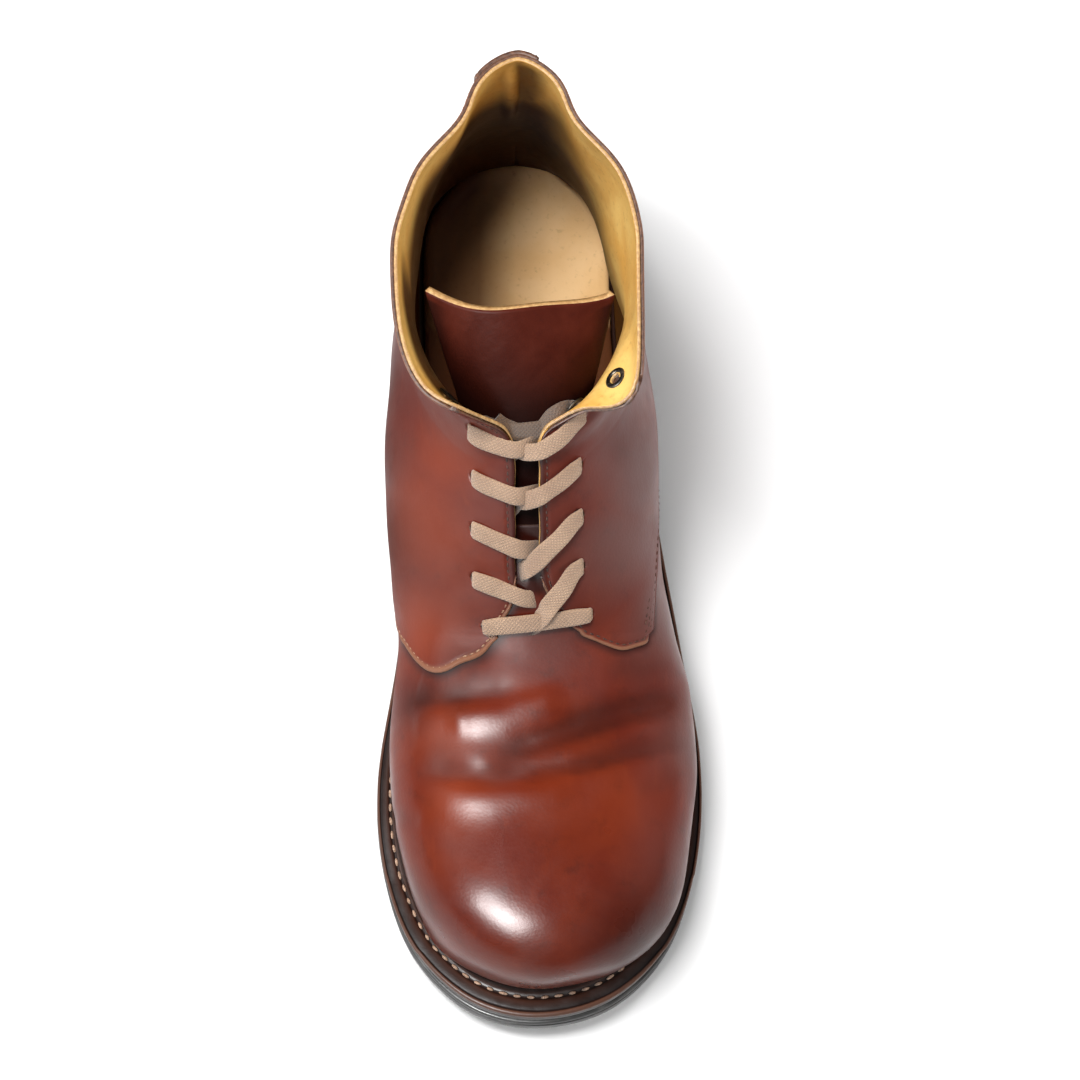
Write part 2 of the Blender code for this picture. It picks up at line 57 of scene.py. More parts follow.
def addCamera():
    view = cameraView
    data = bpy.data.cameras.new("studioCamera")
    data.lens, data.sensor_width, data.clip_end = view["lens"], view["sensor"], view["far"]
    camera = newObject("studioCamera", data)
    place, aim = Vector(view["place"]), Vector(view["aim"])
    ahead = (aim - place).normalized()
    right = ahead.cross(Vector(view["up"])).normalized()
    up = right.cross(ahead)
    turn = Matrix((right, up, -ahead)).transposed()
    camera.matrix_world = Matrix.Translation(place) @ turn.to_4x4()
    bpy.context.scene.camera = camera


addCamera()
print("camera placed")

# the boot's own measurements, in mm, the same that its CAD part is drawn from
soleStack = {"outsole": 7.0, "midsole": 4.0, "welt": 3.0, "gap": 0.3, "springFrom": -101.0,
             "heelBreast": 60.0}

soleOutline = np.array([
    (-1.0, -152.0), (25.0, -145.2), (44.5, -125.0), (54.3, -95.0), (56.0, -60.0),
    (49.6, -20.0), (40.8, 28.0), (34.5, 75.0), (33.2, 110.0), (31.1, 125.7),
    (26.1, 135.5), (16.9, 145.5), (9.8, 149.5), (-6.0, 152.0), (-21.8, 149.5),
    (-28.9, 145.5), (-38.1, 135.5), (-43.1, 125.7), (-45.2, 110.0), (-45.0, 75.0),
    (-44.0, 28.0), (-47.0, -20.0), (-54.4, -66.0), (-52.6, -98.0), (-43.3, -126.0),
    (-25.0, -145.6)])

# y against the step from the sole edge in to the upper, and y against the underside's height
featherInset = np.array([(-152.0, 9.0), (-125.0, 8.0), (-95.0, 6.6), (-60.0, 6.0),
                         (10.0, 5.0), (152.0, 4.6)])
soleLine = np.array([(-152.0, 9.0), (-128.0, 3.4), (-100.0, 0.0), (-34.0, 0.0), (0.0, 5.0),
                     (30.0, 13.0), (60.0, 18.6), (90.0, 20.0), (152.0, 20.0)])

# sections of the upper from the toe feather to the collar: back y and z, front y and z,
# where it is widest, half width, roundness lateral and medial, roundness of the back,
# pinch, lean, and half the gap between the facings on each side
upperSections = np.array([
    (-117, 0, -139.3, 21.3, .04, 38.0, 1.74, 1.70, 1.4, 0, .2, 0, 0),
    (-113, 0, -140.2, 34, .10, 40.4, 1.80, 1.73, 1.4, 0, 1.3, 0, 0),
    (-108, 0, -137, 48, .18, 42.3, 1.88, 1.80, 1.4, 0, 2, 0, 0),
    (-101, 0, -127, 57.5, .25, 45, 2.03, 1.97, 1.5, 0, 2.1, 0, 0),
    (-92, 0, -112, 62, .30, 47.6, 2.15, 2.12, 1.9, 0, 1.7, 0, 0),
    (-79, 0, -90, 62, .33, 50.2, 2.20, 2.20, 2.4, 0, 1.4, 0, 0),
    (-60, 0, -66, 63, .34, 51.9, 2.20, 2.20, 2.4, 0, 1.3, 0, 0),
    (-38, 0, -44, 66, .34, 50.0, 2.20, 2.20, 2.4, 0, 1.2, 0, 0),
    (-16, 0, -28, 71, .36, 46.8, 2.15, 2.15, 2.4, 0, -.5, 0, 0),
    (12, 0, -17, 81, .38, 45.2, 2.15, 2.15, 2.4, 0, -3.5, 4, 4),
    (44, 0, -7, 91, .42, 45.0, 2.10, 2.10, 2.4, 0, -5.5, 4, 4),
    (76, 0, 2, 100, .45, 44.6, 2.10, 2.10, 2.4, 0, -5.5, 4, 4),
    (106, 0, 9, 107.5, .48, 42.2, 2.10, 2.10, 2.4, 0, -6, 4, 4),
    (133, 0, 14, 113, .50, 40.0, 2.10, 2.10, 2.5, 0, -6, 4, 4),
    (147.4, 34.3, 18, 117.5, .52, 38.8, 2.10, 2.10, 2.5, 0, -6, 4, 4),
    (150.5, 58, 22, 121.5, .54, 38.2, 2.10, 2.10, 2.4, 0, -6.5, 4, 4),
    (148.5, 84, 25, 126, .54, 37.4, 2.20, 2.10, 2.25, .02, -7, 4.5, 4.2),
    (144, 111, 27.5, 131, .53, 37.0, 1.95, 2.10, 2.0, .08, -8, 9, 6),
    (142, 137, 28, 140, .52, 37.4, 3.00, 2.50, 1.75, .17, -8.5, 23, 12),
    (143, 162, 29, 151, .52, 38.4, 8.00, 3.20, 1.6, .25, -9, 36.5, 20)], float)

sectionForm = {"throat": 8, "firstClosed": 14, "gap": 4.0, "wholeRound": 2.15, "wholeTo": 17,
               "pinchPlace": 0.16, "pinchSpread": 0.10, "curveSteps": 70, "seamRoom": 0.2,
               "heelEase": {"from": 13.2, "to": 14.9, "passes": 10, "fade": (1.6, 4)}}
surfaceGrid = {"rowsPerSection": 8, "columns": 96, "stepUp": 0.03, "stepOver": 0.004}
curveForm = {"outlineSteps": 14, "featherPoints": 200, "frontSteps": 600, "frontPoints": 400,
             "facingPoints": 160}
topSection = len(upperSections) - 1.0


def smoothAt(values, u):       # Catmull-Rom along a list of rows
    count = len(values)
    i = min(max(int(u), 0), count - 2)
    t = u - i
    p1, p2 = values[i], values[i + 1]
    p0 = values[i - 1] if i > 0 else 2 * p1 - p2
    p3 = values[i + 2] if i + 2 < count else 2 * p2 - p1
    return 0.5 * (2 * p1 + (p2 - p0) * t + (2 * p0 - 5 * p1 + 4 * p2 - p3) * t ** 2
                  + (3 * p1 - p0 - 3 * p2 + p3) * t ** 3)


def smoothStep(value, low, high):
    f = np.clip((value - low) / (high - low), 0.0, 1.0)
    return f * f * (3 - 2 * f)


def runLength(points):
    return np.concatenate(([0.0], np.cumsum(np.linalg.norm(np.diff(points, axis=0), axis=1))))


def soften(before, here, after):
    return 0.25 * before + 0.5 * here + 0.25 * after


def resample(points, count):
    points = np.asarray(points, float)
    along = runLength(points)
    targets = np.linspace(0.0, along[-1], count + 1)
    return np.stack([np.interp(targets, along, points[:, k]) for k in range(points.shape[1])], 1)


def tableValue(table, y):
    u = float(np.interp(y, table[:, 0], range(len(table))))
    return float(smoothAt(table[:, 1], u))


def soleBottom(y):
    return max(0.0, tableValue(soleLine, y))


def onSole(x, y, height):      # layers step back a little as they rise over the toe spring
    lean = 0.0
    if y <= soleStack["springFrom"]:
        nearby = max(y, soleLine[0, 0] + 0.5)
        lean = soleBottom(nearby - 0.5) - soleBottom(nearby + 0.5)
    return np.array((x, y + lean * height, soleBottom(y) + height))


@functools.lru_cache(maxsize=None)
def outlineLoop():
    wrapped = np.vstack((soleOutline[-2:], soleOutline, soleOutline[:3]))
    steps = curveForm["outlineSteps"]
    loop = np.array([smoothAt(wrapped, 2 + k / steps) for k in range(len(soleOutline) * steps)])
    along = np.roll(loop, -1, axis=0) - np.roll(loop, 1, axis=0)
    normal = np.stack((-along[:, 1], along[:, 0]), 1)
    normal /= np.linalg.norm(normal, axis=1)[:, None]
    return loop, normal, np.array([tableValue(featherInset, y) for y in loop[:, 1]])


@functools.lru_cache(maxsize=None)
def outlineSides(inset, count, share=0.0):     # share 1 follows the upper's feather line
    loop, normal, feather = outlineLoop()
    moved = loop + normal * (inset + share * feather)[:, None]
    moved = np.roll(moved, -int(np.argmin(moved[:, 1])), axis=0)
    back = int(np.argmax(moved[:, 1]))
    lateral = moved[:back + 1]
    medial = np.vstack((moved[back:], moved[:1]))[::-1]
    return resample(lateral, count), resample(medial, count)


@functools.lru_cache(maxsize=None)
def featherLine(side):
    half = outlineSides(0.0, curveForm["featherPoints"], 1.0)[0 if side > 0 else 1]
    height = soleStack["outsole"] + soleStack["midsole"] + soleStack["welt"] + soleStack["gap"]
    return np.array([onSole(x, y, height) for x, y in half])


def sectionCurve(u, side, whole=False):      # outside of the upper, from its end to the facing
    form = sectionForm
    (backY, backZ, frontY, frontZ, wideAt, halfWide, roundLat, roundMed, backPower, pinch,
     lean, gapLat, gapMed) = smoothAt(upperSections, u)
    line = featherLine(side)
    endWidth = 0.0
    if u < form["firstClosed"]:
        backY = min(backY, upperSections[form["firstClosed"], 0] - form["seamRoom"])
        backZ = np.interp(backY, featherLine(1)[:, 1], featherLine(1)[:, 2])
        endWidth = side * (np.interp(backY, line[:, 1], line[:, 0]) - lean)
    gap = gapLat if side > 0 else gapMed
    power = roundLat if side > 0 else roundMed
    gap = 0.0 if u <= form["throat"] or whole else max(form["gap"], gap)
    if whole:
        power = min(power, form["wholeRound"])
    steps = form["curveSteps"]
    points = []

    def place(width, f):
        width *= 1.0 - pinch * math.exp(-((f - form["pinchPlace"]) / form["pinchSpread"]) ** 2)
        points.append((lean + side * width, backY + (frontY - backY) * f,
                       backZ + (frontZ - backZ) * f))
        return width

    for k in range(steps):
        s = 1.0 - math.cos(0.5 * math.pi * k / steps)
        start = 1.0 - (endWidth / halfWide) ** backPower
        last = place(halfWide * (1.0 - start * (1.0 - s) ** backPower) ** (1.0 / backPower),
                     s * wideAt)
    for k in range(steps + 1):
        angle = 0.5 * math.pi * k / steps
        reach = (math.cos(angle) ** power + math.sin(angle) ** power) ** (-1.0 / power)
        width = place(max(0.0, halfWide * math.cos(angle) * reach),
                      wideAt + (1.0 - wideAt) * math.sin(angle) * reach)
        if width <= gap:
            part = (last - gap) / max(last - width, 1e-9)
            before, here = np.array(points[-2]), np.array(points[-1])
            points[-1] = tuple(before + (here - before) * part)
            break
        last = width
    return resample(points, surfaceGrid["columns"])


class Surface:                 # a smooth surface through the sections, read at any u and t
    def __init__(self, whole):
        per, turn = surfaceGrid["rowsPerSection"], sectionForm["heelEase"]
        places = np.arange(int(topSection) * per + 1) / per
        if whole:
            places = places[:sectionForm["wholeTo"] * per + 1]
        raw = {side: np.array([sectionCurve(u, side, whole) for u in places])
               for side in (1, -1)}
        for side in raw:       # ease the turn round the heel
            rows = np.where((places > turn["from"]) & (places < turn["to"]))[0]
            most, fade = turn["fade"]
            ease = np.clip(most - np.linspace(0, 1, raw[side].shape[1]) * fade, 0, 1)[:, None]
            for _ in range(turn["passes"]):
                old = raw[side].copy()
                soft = soften(old[rows - 1], old[rows], old[rows + 1])
                soft[:, 0] = old[rows, 0]
                raw[side][rows] = old[rows] + (soft - old[rows]) * ease
        self.per, self.grid = per, {}
        for side in (1, -1):
            here, other = raw[side], raw[-side]
            first, last = 2 * here[:, 0] - here[:, 1], 2 * here[:, -1] - here[:, -2]
            closed = places >= sectionForm["firstClosed"]
            joined = places <= (topSection if whole else sectionForm["throat"])
            first[closed] = other[closed, 1]
            last[joined] = other[joined, -2]
            wide = np.concatenate((first[:, None], here, last[:, None]), 1)
            self.grid[side] = np.concatenate((2 * wide[:1] - wide[1:2], wide,
                                              2 * wide[-1:] - wide[-2:-1]))
        self.length = {side: np.linalg.norm(np.diff(raw[side], axis=1), axis=2).sum(1)
                       for side in raw}
        self.places = places

    def point(self, side, u, t):
        grid = self.grid[side]
        u, t = np.broadcast_arrays(np.asarray(u, float) * self.per,
                                   np.asarray(t, float) * surfaceGrid["columns"])
        i = np.clip(np.floor(u).astype(int), 0, grid.shape[0] - 4)
        j = np.clip(np.floor(t).astype(int), 0, grid.shape[1] - 4)
        total = 0.0
        for a, wa in enumerate(splineWeights(u - i)):
            for b, wb in enumerate(splineWeights(t - j)):
                total = total + grid[i + a, j + b] * (wa * wb)[..., None]
        return total

    def frame(self, side, u, t):      # point, outward normal, and the way up the sections
        u, t = np.broadcast_arrays(np.asarray(u, float), np.asarray(t, float))
        top, du, dt = self.places[-1], surfaceGrid["stepUp"], surfaceGrid["stepOver"]
        up = self.point(side, np.minimum(u + du, top), t) - self.point(
            side, np.maximum(u - du, 0), t)
        over = self.point(side, u, t + dt) - self.point(side, u, t - dt)
        out = side * np.cross(up, over)
        out /= np.maximum(np.linalg.norm(out, axis=-1, keepdims=True), 1e-9)
        return self.point(side, u, t), out, up

    def sectionLength(self, side, u):
        return np.interp(u, self.places, self.length[side])


def splineWeights(f):
    return (0.5 * (-f + 2 * f ** 2 - f ** 3), 0.5 * (2 - 5 * f ** 2 + 3 * f ** 3),
            0.5 * (f + 4 * f ** 2 - 3 * f ** 3), 0.5 * (-f ** 2 + f ** 3))


upperSurface = Surface(False)
wholeSurface = Surface(True)
print("surface of the upper worked out")

eyeletPlan = {"rows": 6, "pitch": 18.4, "first": {1: 11.0, -1: 7.0}, "setback": 13.0}
facingPlaces = np.linspace(sectionForm["throat"] + .01, topSection, curveForm["facingPoints"])
facingRun = {side: runLength(upperSurface.point(side, facingPlaces, 1.0)) for side in (1, -1)}


def eyeletPlace(side, row):    # section and t of an eyelet's centre
    run = eyeletPlan["first"][side] + eyeletPlan["pitch"] * row
    u = float(np.interp(run, facingRun[side], facingPlaces))
    return u, 1.0 - eyeletPlan["setback"] / float(upperSurface.sectionLength(side, u))


def eyeletCentres(side, lift):
    frames = [upperSurface.frame(side, *eyeletPlace(side, row))
              for row in range(eyeletPlan["rows"])]
    return [centre + out * lift for centre, out, _ in frames]


def eachSide(surface, side, u, t):     # points and normals where each has a side of its own
    points, normals = np.zeros((len(u), 3)), np.zeros((len(u), 3))
    for which in (1, -1):
        pick = side == which
        points[pick], normals[pick], _ = surface.frame(which, u[pick], t[pick])
    return points, normals


def newGrid(columns, rows):    # a flat grid, with each vertex's place across and along it
    bm = bmesh.new()
    bmesh.ops.create_grid(bm, x_segments=columns, y_segments=rows, size=0.5)
    flat = np.array([v.co[:2] for v in bm.verts]) + 0.5
    return bm, flat[:, 0], flat[:, 1]


def placeVerts(bm, points):
    for vert, point in zip(bm.verts, np.asarray(points) * mm):
        vert.co = point


def gridThrough(points):       # a grid laid through a table of points
    points = np.array(points)
    rows, columns = points.shape[0] - 1, points.shape[1] - 1
    bm, a, b = newGrid(columns, rows)
    column, row = np.rint(a * columns).astype(int), np.rint(b * rows).astype(int)
    placeVerts(bm, points[row, column])
    return bm, points[row, column], column


def paintVerts(bm, name, values):
    layer = bm.verts.layers.float.new(name)
    for vert, value in zip(bm.verts, np.broadcast_to(values, (len(bm.verts),))):
        vert[layer] = float(value)


def darken(bm, shades):        # the deeper of the paint already there and this one
    deep = bm.verts.layers.float["deep"]
    for vert, shade in zip(bm.verts, shades):
        vert[deep] = max(vert[deep], float(shade))


def closeSeams(bm, distance=0.02):     # join what lies closer than this, in mm
    bmesh.ops.remove_doubles(bm, verts=bm.verts, dist=distance * mm)
    bmesh.ops.recalc_face_normals(bm, faces=bm.faces)


heartLine = {"x": -0.004, "share": 0.72, "z": 0.05, "every": 97}


def faceOutward(bm):           # turn an open sheet by a vote of its faces, away from the heart
    bmesh.ops.recalc_face_normals(bm, faces=bm.faces)
    votes = 0
    for face in list(bm.faces)[::heartLine["every"]]:
        middle = face.calc_center_median()
        heart = Vector((heartLine["x"], middle.y * heartLine["share"], heartLine["z"]))
        votes += 1 if face.normal.dot(middle - heart) > 0 else -1
    if votes < 0:
        bmesh.ops.reverse_faces(bm, faces=bm.faces)


def addPiece(name, bm, materials, replaced=(), wall=None):
    mesh = bpy.data.meshes.new(name)
    bm.to_mesh(mesh)
    bm.free()
    piece = newObject(name, mesh)
    for material in materials:
        mesh.materials.append(material)
    mesh.polygons.foreach_set("use_smooth", [True] * len(mesh.polygons))
    if wall:                   # thickness inward; the second material inside, the third on edge
        leather = piece.modifiers.new("leather", "SOLIDIFY")
        leather.thickness, leather.offset, leather.use_even_offset = wall * mm, -1.0, False
        leather.material_offset, leather.material_offset_rim = 1, 2
    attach(piece, "root")
    if replaced:
        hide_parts(*replaced)
    return piece


def pathFrames(points, normals):
    along = np.gradient(points, axis=0)
    along /= np.maximum(np.linalg.norm(along, axis=1, keepdims=True), 1e-9)
    across = np.cross(normals, along)
    across /= np.maximum(np.linalg.norm(across, axis=1, keepdims=True), 1e-9)
    return along, across, np.cross(along, across)


stitchForm = {"lengthVaries": 0.10, "turnVaries": 0.05, "around": 8, "rings": 5}


def sewRow(bm, points, normals, thread):      # one small bead of thread a stitch
    run = runLength(points)
    count = int(run[-1] / thread["pitch"])
    places = (np.arange(count) + 0.5) * run[-1] / count
    at = np.stack([np.interp(places, run, points[:, k]) for k in range(3)], 1)
    out = np.stack([np.interp(places, run, normals[:, k]) for k in range(3)], 1)
    along, across, out = pathFrames(at, out)
    for k in range(count):
        sway = 1.0 + stitchForm["lengthVaries"] * rng.standard_normal()
        slant = stitchForm["turnVaries"] * rng.standard_normal()
        ahead = along[k] * math.cos(slant) + across[k] * math.sin(slant)
        wide = np.cross(out[k], ahead)
        size = (thread["length"] * 0.5 * sway, thread["width"] * 0.5, thread["height"] * 0.5)
        turn = Matrix([Vector(ahead * size[0] * mm), Vector(wide * size[1] * mm),
                       Vector(out[k] * size[2] * mm)]).transposed().to_4x4()
        turn.translation = Vector(at[k] * mm)
        bmesh.ops.create_uvsphere(bm, u_segments=stitchForm["around"],
                                  v_segments=stitchForm["rings"], radius=1.0, matrix=turn)


def newMaterial(name, **sockets):
    material = bpy.data.materials.new(name)
    material.use_nodes = True
    shader = material.node_tree.nodes["Principled BSDF"]
    for socket, value in sockets.items():
        shader.inputs[socket.replace("_", " ")].default_value = value
    return material, material.node_tree, shader


def addNode(tree, kind, inputs=(), **settings):
    made = tree.nodes.new("ShaderNode" + kind)
    for key, value in settings.items():
        setattr(made, key, value)
    for key, value in dict(inputs).items():
        if isinstance(value, bpy.types.NodeSocket):
            tree.links.new(value, made.inputs[key])
        else:
            made.inputs[key].default_value = value
    return made


def objectPlace(tree, scale=(1, 1, 1), turn=(0, 0, 0)):
    coords = addNode(tree, "TexCoord").outputs["Object"]
    return addNode(tree, "Mapping", {"Vector": coords, "Scale": scale,
                                     "Rotation": turn}).outputs["Vector"]


def noiseOf(tree, place, scale, detail=3.0, rough=0.55, warp=0.0):
    return addNode(tree, "TexNoise", {"Vector": place, "Scale": scale, "Detail": detail,
                                      "Roughness": rough, "Distortion": warp}).outputs["Fac"]


def remap(tree, value, low, high, toLow=0.0, toHigh=1.0):
    return addNode(tree, "MapRange", {"Value": value, "From Min": low, "From Max": high,
                                      "To Min": toLow, "To Max": toHigh},
                   interpolation_type="SMOOTHSTEP").outputs["Result"]


def combine(tree, operation, a, b):
    return addNode(tree, "Math", {0: a, 1: b}, operation=operation).outputs[0]


def mixColour(tree, factor, a, b):     # the sockets that a colour mix uses are 0, 6, 7 and 2
    return addNode(tree, "Mix", {0: factor, 6: a, 7: b}, data_type="RGBA").outputs[2]


def painted(tree, name):
    return addNode(tree, "Attribute", attribute_name=name).outputs["Fac"]


def addPaint(tree, colour, look, *names):      # each painted layer over the last, in its colour
    for name in names:
        colour = mixColour(tree, painted(tree, name), colour, look[name])
    return colour


def bumpFrom(tree, height, strength, distance, below=None):
    inputs = {"Height": height, "Strength": strength, "Distance": distance}
    if below is not None:
        inputs["Normal"] = below
    return addNode(tree, "Bump", inputs).outputs["Normal"]


def finish(tree, shader, colour, roughness=None, normal=None):
    for socket, value in (("Base Color", colour), ("Roughness", roughness), ("Normal", normal)):
        if value is not None:
            tree.links.new(value, shader.inputs[socket])


# leathers: colours; noise as (scale, detail, roughness, warp); a share as (from, to, least,
# most) of its noise; a bump as (strength, distance)
upperLeatherLook = {
    # the darkest colour serves both the random dark mottle and the painted shade
    "base": (0.112, 0.0115, 0.0042, 1), "deep": (0.034, 0.0056, 0.0034, 1),
    "warm": (0.240, 0.034, 0.0075, 1), "paintedSheen": (0.125, 0.060, 0.053, 1),
    "edge": (0.250, 0.105, 0.055, 1), "coat": 0.14,
    "roughness": (0.3, 0.75, 0.27, 0.42), "edgeRough": 0.2, "dullRough": 0.5,
    "cloud": (26, 4, 0.6, 0.4), "cloudWarm": (0.36, 0.70, 0.0, 0.30),
    "mottle": (130, 4, 0.62), "mottleDeep": (0.52, 0.80, 0.0, 0.42),
    "drag": (210, 3, 0.6), "dragWarm": (0.56, 0.78, 0.0, 0.22),
    "dragStretch": (1.0, 0.28, 1.0), "dragTurn": (0, 0, 0.3), "wax": (60, 3),
    "swell": (55, 5, 0.55), "swellBump": (0.11, 0.0012), "grain": 900.0,
    "grainBump": (0.08, 0.0003), "pores": (2100, 2), "poreBump": (0.06, 0.0002)}


def makeUpperLeather():        # waxed chestnut leather, painted by fold, warm, deep and edge
    look = upperLeatherLook
    material, tree, shader = newMaterial("chestnutLeather", Coat_Roughness=0.25,
                                         Specular_IOR_Level=0.17)
    place = objectPlace(tree)
    cloud, mottle = noiseOf(tree, place, *look["cloud"]), noiseOf(tree, place, *look["mottle"])
    drag = noiseOf(tree, objectPlace(tree, look["dragStretch"], look["dragTurn"]), *look["drag"])
    colour = look["base"]
    for noise, share, other in ((cloud, "cloudWarm", "warm"), (mottle, "mottleDeep", "deep"),
                                (drag, "dragWarm", "warm")):
        colour = mixColour(tree, remap(tree, noise, *look[share]), colour, look[other])
    # over the leather's tone: a painted sheen, a warm tone that is partly painted light, painted
    # shade, and the paler cut edge
    colour = addPaint(tree, colour, look, "paintedSheen", "warm", "deep", "edge")
    rough = remap(tree, noiseOf(tree, place, *look["wax"]), *look["roughness"])
    for paint, more in (("edge", look["edgeRough"]), ("dull", look["dullRough"])):
        rough = combine(tree, "ADD", rough, combine(tree, "MULTIPLY", painted(tree, paint), more))
    polish = combine(tree, "SUBTRACT", 1.0, painted(tree, "dull"))
    tree.links.new(combine(tree, "MULTIPLY", polish, look["coat"]),
                   shader.inputs["Coat Weight"])
    grain = addNode(tree, "TexVoronoi", {"Vector": place, "Scale": look["grain"],
                                         "Randomness": 1.0}, feature="F1").outputs["Distance"]
    bump = bumpFrom(tree, noiseOf(tree, place, *look["swell"]), *look["swellBump"])
    bump = bumpFrom(tree, grain, *look["grainBump"], bump)
    bump = bumpFrom(tree, noiseOf(tree, place, *look["pores"]), *look["poreBump"], bump)
    finish(tree, shader, colour, rough, bump)
    return material


cutEdgeLook = {"roughness": 0.62, "streak": (4, 0.7), "share": (0.35, 0.7), "bump": (0.5, 0.0003)}


def makeCutEdge(name, pale, dark, fibre=700.0):       # raw or inked edge of cut leather
    look = cutEdgeLook
    material, tree, shader = newMaterial(name, Roughness=look["roughness"])
    streak = noiseOf(tree, objectPlace(tree), fibre, *look["streak"])
    colour = mixColour(tree, remap(tree, streak, *look["share"]), dark, pale)
    finish(tree, shader, colour, None, bumpFrom(tree, streak, *look["bump"]))
    return material


# golden glove leather, smooth tan leather polished by wear, and the tongue's brown leather
softForm = {"cloudShare": (0.35, 0.7), "cloudRough": (0.3, 0.7)}
softLooks = {
    "goldenLining": {
        "base": (0.76, 0.41, 0.095, 1), "pale": (0.88, 0.58, 0.18, 1),
        "speck": (0.30, 0.110, 0.022, 1), "deep": (0.050, 0.014, 0.003, 1),
        "sockets": {"Roughness": 0.55, "Specular_IOR_Level": 0.12}, "roughness": (0.48, 0.62),
        "cloud": (45, 4, 0.6, 0.3), "fine": (420, 4, 0.65), "specks": (0.52, 0.78, 0.0, 0.35),
        "bumps": (("fine", 0.35, 0.0004), ((60, 3), 0.35, 0.0015))},
    "tanFootbed": {
        "base": (0.82, 0.50, 0.22, 1), "pale": (0.90, 0.60, 0.31, 1),
        "speck": (0.22, 0.085, 0.03, 1), "deep": (0.075, 0.017, 0.005, 1),
        "sockets": {"Specular_IOR_Level": 0.25}, "roughness": (0.42, 0.58),
        "cloud": (30, 4, 0.55, 0.3), "fine": (500, 4, 0.65), "specks": (0.55, 0.8, 0.0, 0.3),
        "bumps": (("fine", 0.2, 0.0003),)},
    "tongueLeather": {
        "base": (0.062, 0.0095, 0.0050, 1), "pale": (0.095, 0.0160, 0.0080, 1),
        "speck": (0.045, 0.008, 0.006, 1), "deep": (0.014, 0.0035, 0.0025, 1),
        "sockets": {"Specular_IOR_Level": 0.04}, "roughness": (0.38, 0.52),
        "cloud": (40, 4, 0.6, 0.4), "fine": (260, 4, 0.65), "specks": (0.54, 0.8, 0.0, 0.4),
        "bumps": (((75, 5, 0.6), 0.35, 0.0014), ("fine", 0.25, 0.0003))}}


def makeSoftLeather(name):
    look = softLooks[name]
    material, tree, shader = newMaterial(name, **look["sockets"])
    place = objectPlace(tree)
    cloud, fine = noiseOf(tree, place, *look["cloud"]), noiseOf(tree, place, *look["fine"])
    share = remap(tree, cloud, *softForm["cloudShare"])
    colour = mixColour(tree, share, look["base"], look["pale"])
    colour = mixColour(tree, remap(tree, fine, *look["specks"]), colour, look["speck"])
    colour = addPaint(tree, colour, look, "deep")
    bump = None
    for noise, strength, distance in look["bumps"]:
        height = fine if noise == "fine" else noiseOf(tree, place, *noise)
        bump = bumpFrom(tree, height, strength, distance, bump)
    rough = remap(tree, cloud, *softForm["cloudRough"], *look["roughness"])
    finish(tree, shader, colour, rough, bump)
    return material


laceLook = {"dark": (0.36, 0.215, 0.125, 1), "light": (0.46, 0.290, 0.175, 1),
            "between": (0.17, 0.09, 0.05, 1), "deep": (0.085, 0.048, 0.028, 1),
            "turn": 0.75, "ribs": {"Scale": 330.0, "Distortion": 1.2, "Detail": 1.0,
                                   "Detail Scale": 2.0},
            "fuzz": (900, 3, 0.7), "cloud": (90, 3), "cloudShare": (0.3, 0.7),
            "threadShare": (0.0, 0.5, 0.35, 0.0), "threadBump": (0.55, 0.0005),
            "fuzzBump": (0.3, 0.0003)}


def makeLaceWeave():           # flat beige cotton in a diagonal weave
    look = laceLook
    material, tree, shader = newMaterial("flatCottonLace", Roughness=0.86, Sheen_Weight=0.25,
                                         Sheen_Roughness=0.6)
    weave = addNode(tree, "Attribute", attribute_name="weave").outputs["Vector"]

    def twill(turn):
        turned = addNode(tree, "Mapping", {"Vector": weave, "Rotation": (0, 0, turn)})
        return addNode(tree, "TexWave", {"Vector": turned.outputs["Vector"], **look["ribs"]},
                       wave_type="BANDS", bands_direction="X").outputs["Fac"]

    threads = combine(tree, "MULTIPLY", twill(look["turn"]), twill(-look["turn"]))
    fuzz = noiseOf(tree, objectPlace(tree), *look["fuzz"])
    cloud = noiseOf(tree, objectPlace(tree), *look["cloud"])
    colour = mixColour(tree, remap(tree, cloud, *look["cloudShare"]), look["dark"],
                       look["light"])
    colour = mixColour(tree, remap(tree, threads, *look["threadShare"]), colour,
                       look["between"])
    bump = bumpFrom(tree, threads, *look["threadBump"])
    bump = bumpFrom(tree, fuzz, *look["fuzzBump"], bump)
    finish(tree, shader, addPaint(tree, colour, look, "deep"), None, bump)
    return material


threadLook = {"twist": (1500, 3, 0.7), "twistShare": (0.35, 0.65), "wearAndShade": (70, 3),
              "wornShare": (0.45, 0.8, 0.0, 0.6), "bump": (0.6, 0.0003)}


def makeThread(name, light, dark):
    look = threadLook
    material, tree, shader = newMaterial(name, Roughness=0.75, Specular_IOR_Level=0.25)
    twist = noiseOf(tree, objectPlace(tree), *look["twist"])
    wearAndShade = noiseOf(tree, objectPlace(tree), *look["wearAndShade"])
    colour = mixColour(tree, remap(tree, twist, *look["twistShare"]), dark, light)
    colour = mixColour(tree, remap(tree, wearAndShade, *look["wornShare"]), colour, dark)
    finish(tree, shader, colour, None, bumpFrom(tree, twist, *look["bump"]))
    return material


weltLook = {"top": (0.040, 0.014, 0.008, 1), "lip": (0.095, 0.040, 0.024, 1),
            "groove": (0.012, 0.006, 0.005, 1), "streak": (160, 4, 0.65), "fine": (700, 3, 0.6),
            "streakShare": (0.45, 0.75, 0.0, 0.5), "streakBump": (0.25, 0.0006),
            "fineBump": (0.3, 0.0002), "roughness": (0.3, 0.7, 0.34, 0.52)}


